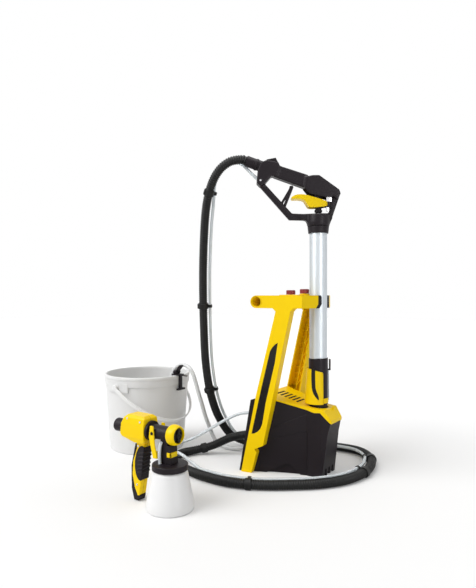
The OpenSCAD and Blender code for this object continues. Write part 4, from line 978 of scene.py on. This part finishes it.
turned(bm, nutAxis, nutMake["profile"], 64)
nutPiece = pieceFrom("nozzleNut", bm, "yellowTrigger", 35.0)
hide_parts("nozzle_nut")
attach(nutPiece, "nozzle")
bm = bmesh.new()
turned(bm, nutAxis, nutMake["cap"], 48, False)
for side in (-1, 1):  # two horns and the web between them
    for (x, y), (a, b), (low, high), edge in nutMake["horns"]:
        block(bm, nutAxis, (side * x - a, side * y - b, low), (side * x + a, side * y + b, high), edge)
capPiece = pieceFrom("airCap", bm, "blackGloss", 35.0)
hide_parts("air_cap")
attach(capPiece, "nozzle")

cupMake = {
    "axis": (-180.0, -433.0),
    "profile": [
        (0, 1.6), (46, 1.6), (48, 0), (53, 0), (55.2, 0.8), (56.6, 2.6), (57, 5), (56.9, 12), (56.2, 20),
        (55.4, 25), (54.4, 29.6), (43.4, 84), (42.2, 88.4), (40.4, 91.4), (38.4, 93.0), (38, 94),
        (38, 103.4), (35.6, 103.4), (35.5, 92), (38.4, 88), (39.8, 84), (51.6, 29), (52.8, 22), (53.4, 8),
        (52.4, 4.8), (49, 3.8), (0, 3.8),
    ],
    "lid": [
        (0, 105.2), (39.9, 105.2), (39.9, 94.4), (42.4, 94.2), (43, 95), (43, 106.4), (42.2, 107.6),
        (40.6, 108), (0, 108),
    ],
}
cupAxis = Matrix.Translation(Vector((*cupMake["axis"], 0)) * mm)
for name, profile, finish, slot, node in (
    ("gunCup", cupMake["profile"], "cupWhite", "white", "gun_cup"),
    ("cupLid", cupMake["lid"], "blackShell", "black", "gun_lid"),
):
    bm = bmesh.new()
    turned(bm, cupAxis, profile, 96, False)
    piece = pieceFrom(name, bm, finish, 30.0)
    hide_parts(node)
    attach(piece, "station")

# the clear vent tube, and a yellow band round the corner of the gun's column
ventMake = {
    "route": [(-196, -451, 108.3), (-197, -451.5, 128), (-196, -451.5, 146), (-192, -451, 160)],
    "radius": 4.0, "bore": 2.8, "sides": 14, "steps": 30,
}
ventPath = scaled(evenSteps(denseLine(ventMake["route"]), ventMake["steps"]))
ventPiece = plainTube("ventTube", ventPath, ventMake, "clearHose")
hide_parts("vent_tube")
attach(ventPiece, "station")

bandPlates = [
    ((-178, -447.4, 125.5), (-165.0, -445.0, 136.5)), ((-169.5, -447.4, 125.5), (-165.0, -424, 136.5)),
]
bm = bmesh.new()
for low, high in bandPlates:
    block(bm, Matrix.Identity(4), low, high)
bandPiece = pieceFrom("columnBand", bm, "yellowTrigger")
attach(bandPiece, "station")
print("hand gun made")

# floor and light: a white room that the camera and the shiny surfaces see as white
studio = {
    "floor": (0.84, 0.84, 0.84), "floorHalf": 9, "floorNear": 0.08, "floorFar": 0.14,
    "fade": (0.8, 0.5),  # the floor's glow grows from 0.6 to 1.9 m out
    "horizon": 0.30, "zenith": 0.50, "sun": 1.9, "sunSpread": 42.0, "sunAim": (0.5, 0.75, -0.9),
    "rim": ("rimLight", (1.9, 0.4, 1.6), (0, 0, 0.5), (0.8, 1.8), 3.0),  # name, place, aim, size, power
    "sheenAim": (0, -0.1, 0.45),
    "sheen": [  # panels that only show in gloss: name, place, size, power
        ("sheenRight", (1.25, -0.70, 0.55), (0.22, 1.4), 9.0),
        ("sheenLeft", (-0.8, -1.5, 1.15), (0.9, 0.7), 13.0),
        ("sheenAbove", (0.0, -0.3, 2.2), (1.2, 1.2), 22.0),
    ],
}

floorMesh = bpy.data.meshes.new("floor")
half = studio["floorHalf"]
floorMesh.from_pydata(
    [(-half, -half, 0), (half, -half, 0), (half, half, 0), (-half, half, 0)], [], [(0, 1, 2, 3)]
)
floor = bpy.data.objects.new("floor", floorMesh)
scene.collection.objects.link(floor)


def seenRays(f):
    kinds = ("Is Camera Ray", "Is Glossy Ray", "Is Transmission Ray")
    camera, glossy, through = (f.add("ShaderNodeLightPath", output=kind) for kind in kinds)
    return f.add("ShaderNodeClamp", {}, {"Value": camera + glossy + through})


f = Finish(bpy.data.materials.new("floorPaper"))
away = f.add("ShaderNodeVectorMath", {"operation": "LENGTH"}, {0: f.place()}, 1)
rate, start = studio["fade"]
far = f.add("ShaderNodeClamp", {}, {"Value": away * rate - start})
glow = seenRays(f) * (far * studio["floorFar"] + studio["floorNear"])
f.set(
    Base_Color=(*studio["floor"], 1), Roughness=0.9, Specular_IOR_Level=0.1,
    Emission_Color=f.tint(glow, (0, 0, 0), (1, 1, 1)), Emission_Strength=1.0,
)
floorMesh.materials.append(f.material)

scene.world = bpy.data.worlds.new("studioRoom")
room = Finish(scene.world, "Background")
aim = room.add("ShaderNodeTexCoord", output="Generated")
height = room.add("ShaderNodeVectorMath", {"operation": "DOT_PRODUCT"}, {0: aim, 1: (0, 0, 1)}, 1)
sky = room.add("ShaderNodeClamp", {}, {"Value": height}) * studio["zenith"] + studio["horizon"]
seen = seenRays(room)
room.set(Color=(1, 1, 1, 1), Strength=seen + (1 - seen) * sky)


def softLight(name, place, target, size, power):
    data = bpy.data.lights.new(name, "AREA")
    data.shape = "RECTANGLE"
    data.size, data.size_y = size
    data.energy = power
    lamp = bpy.data.objects.new(name, data)
    lamp.location = place
    lamp.rotation_euler = (Vector(target) - Vector(place)).to_track_quat("-Z", "Y").to_euler()
    scene.collection.objects.link(lamp)
    return lamp


sunData = bpy.data.lights.new("keyLight", "SUN")
sunData.energy = studio["sun"]
sunData.angle = math.radians(studio["sunSpread"])
sun = bpy.data.objects.new("keyLight", sunData)
sun.rotation_euler = Vector(studio["sunAim"]).to_track_quat("-Z", "Y").to_euler()
scene.collection.objects.link(sun)
softLight(*studio["rim"])
for name, place, size, power in studio["sheen"]:
    softLight(name, place, studio["sheenAim"], size, power).visible_diffuse = False
print("floor and light made")

# the other solids keep their shape and get their finish
solidFinish = {
    "yellowShell": ["top_deck", "left_frame", "right_frame", "grip_bar", "top_bridge", "head_shield"],
    "blackShell": [
        "base_tub", "rear_panel", "cable_gland", "air_outlet", "hose_unions", "hose_cuff", "hose_latch",
        "tube_collar", "head_sleeve", "spray_nozzle", "bucket_clip", "clip_arm", "suction_strainer",
        "gun_inlet", "gun_body", "power_switch",
    ],
    "blackGloss": ["frame_trim"],
    "softGrip": ["valve_boot"],
    "redKnob": ["rear_knob", "front_knob"],
    "steel": ["case_screws", "handle_screws", "valve_steel", "arm_pin"],
    "anodised": ["lance_tube"],
    "clearHose": ["paint_pipe"],
    "darkGrey": ["turbine_housing", "pump_body"],
    "motorEnamel": ["turbine_motor", "turbine_fan", "pump_rotor"],
    "filterFoam": ["air_filter"],
}
for finish, names in solidFinish.items():
    for name in names:
        nodes[name].data.materials.clear()
        nodes[name].data.materials.append(finishes[finish])
print("solids dressed")
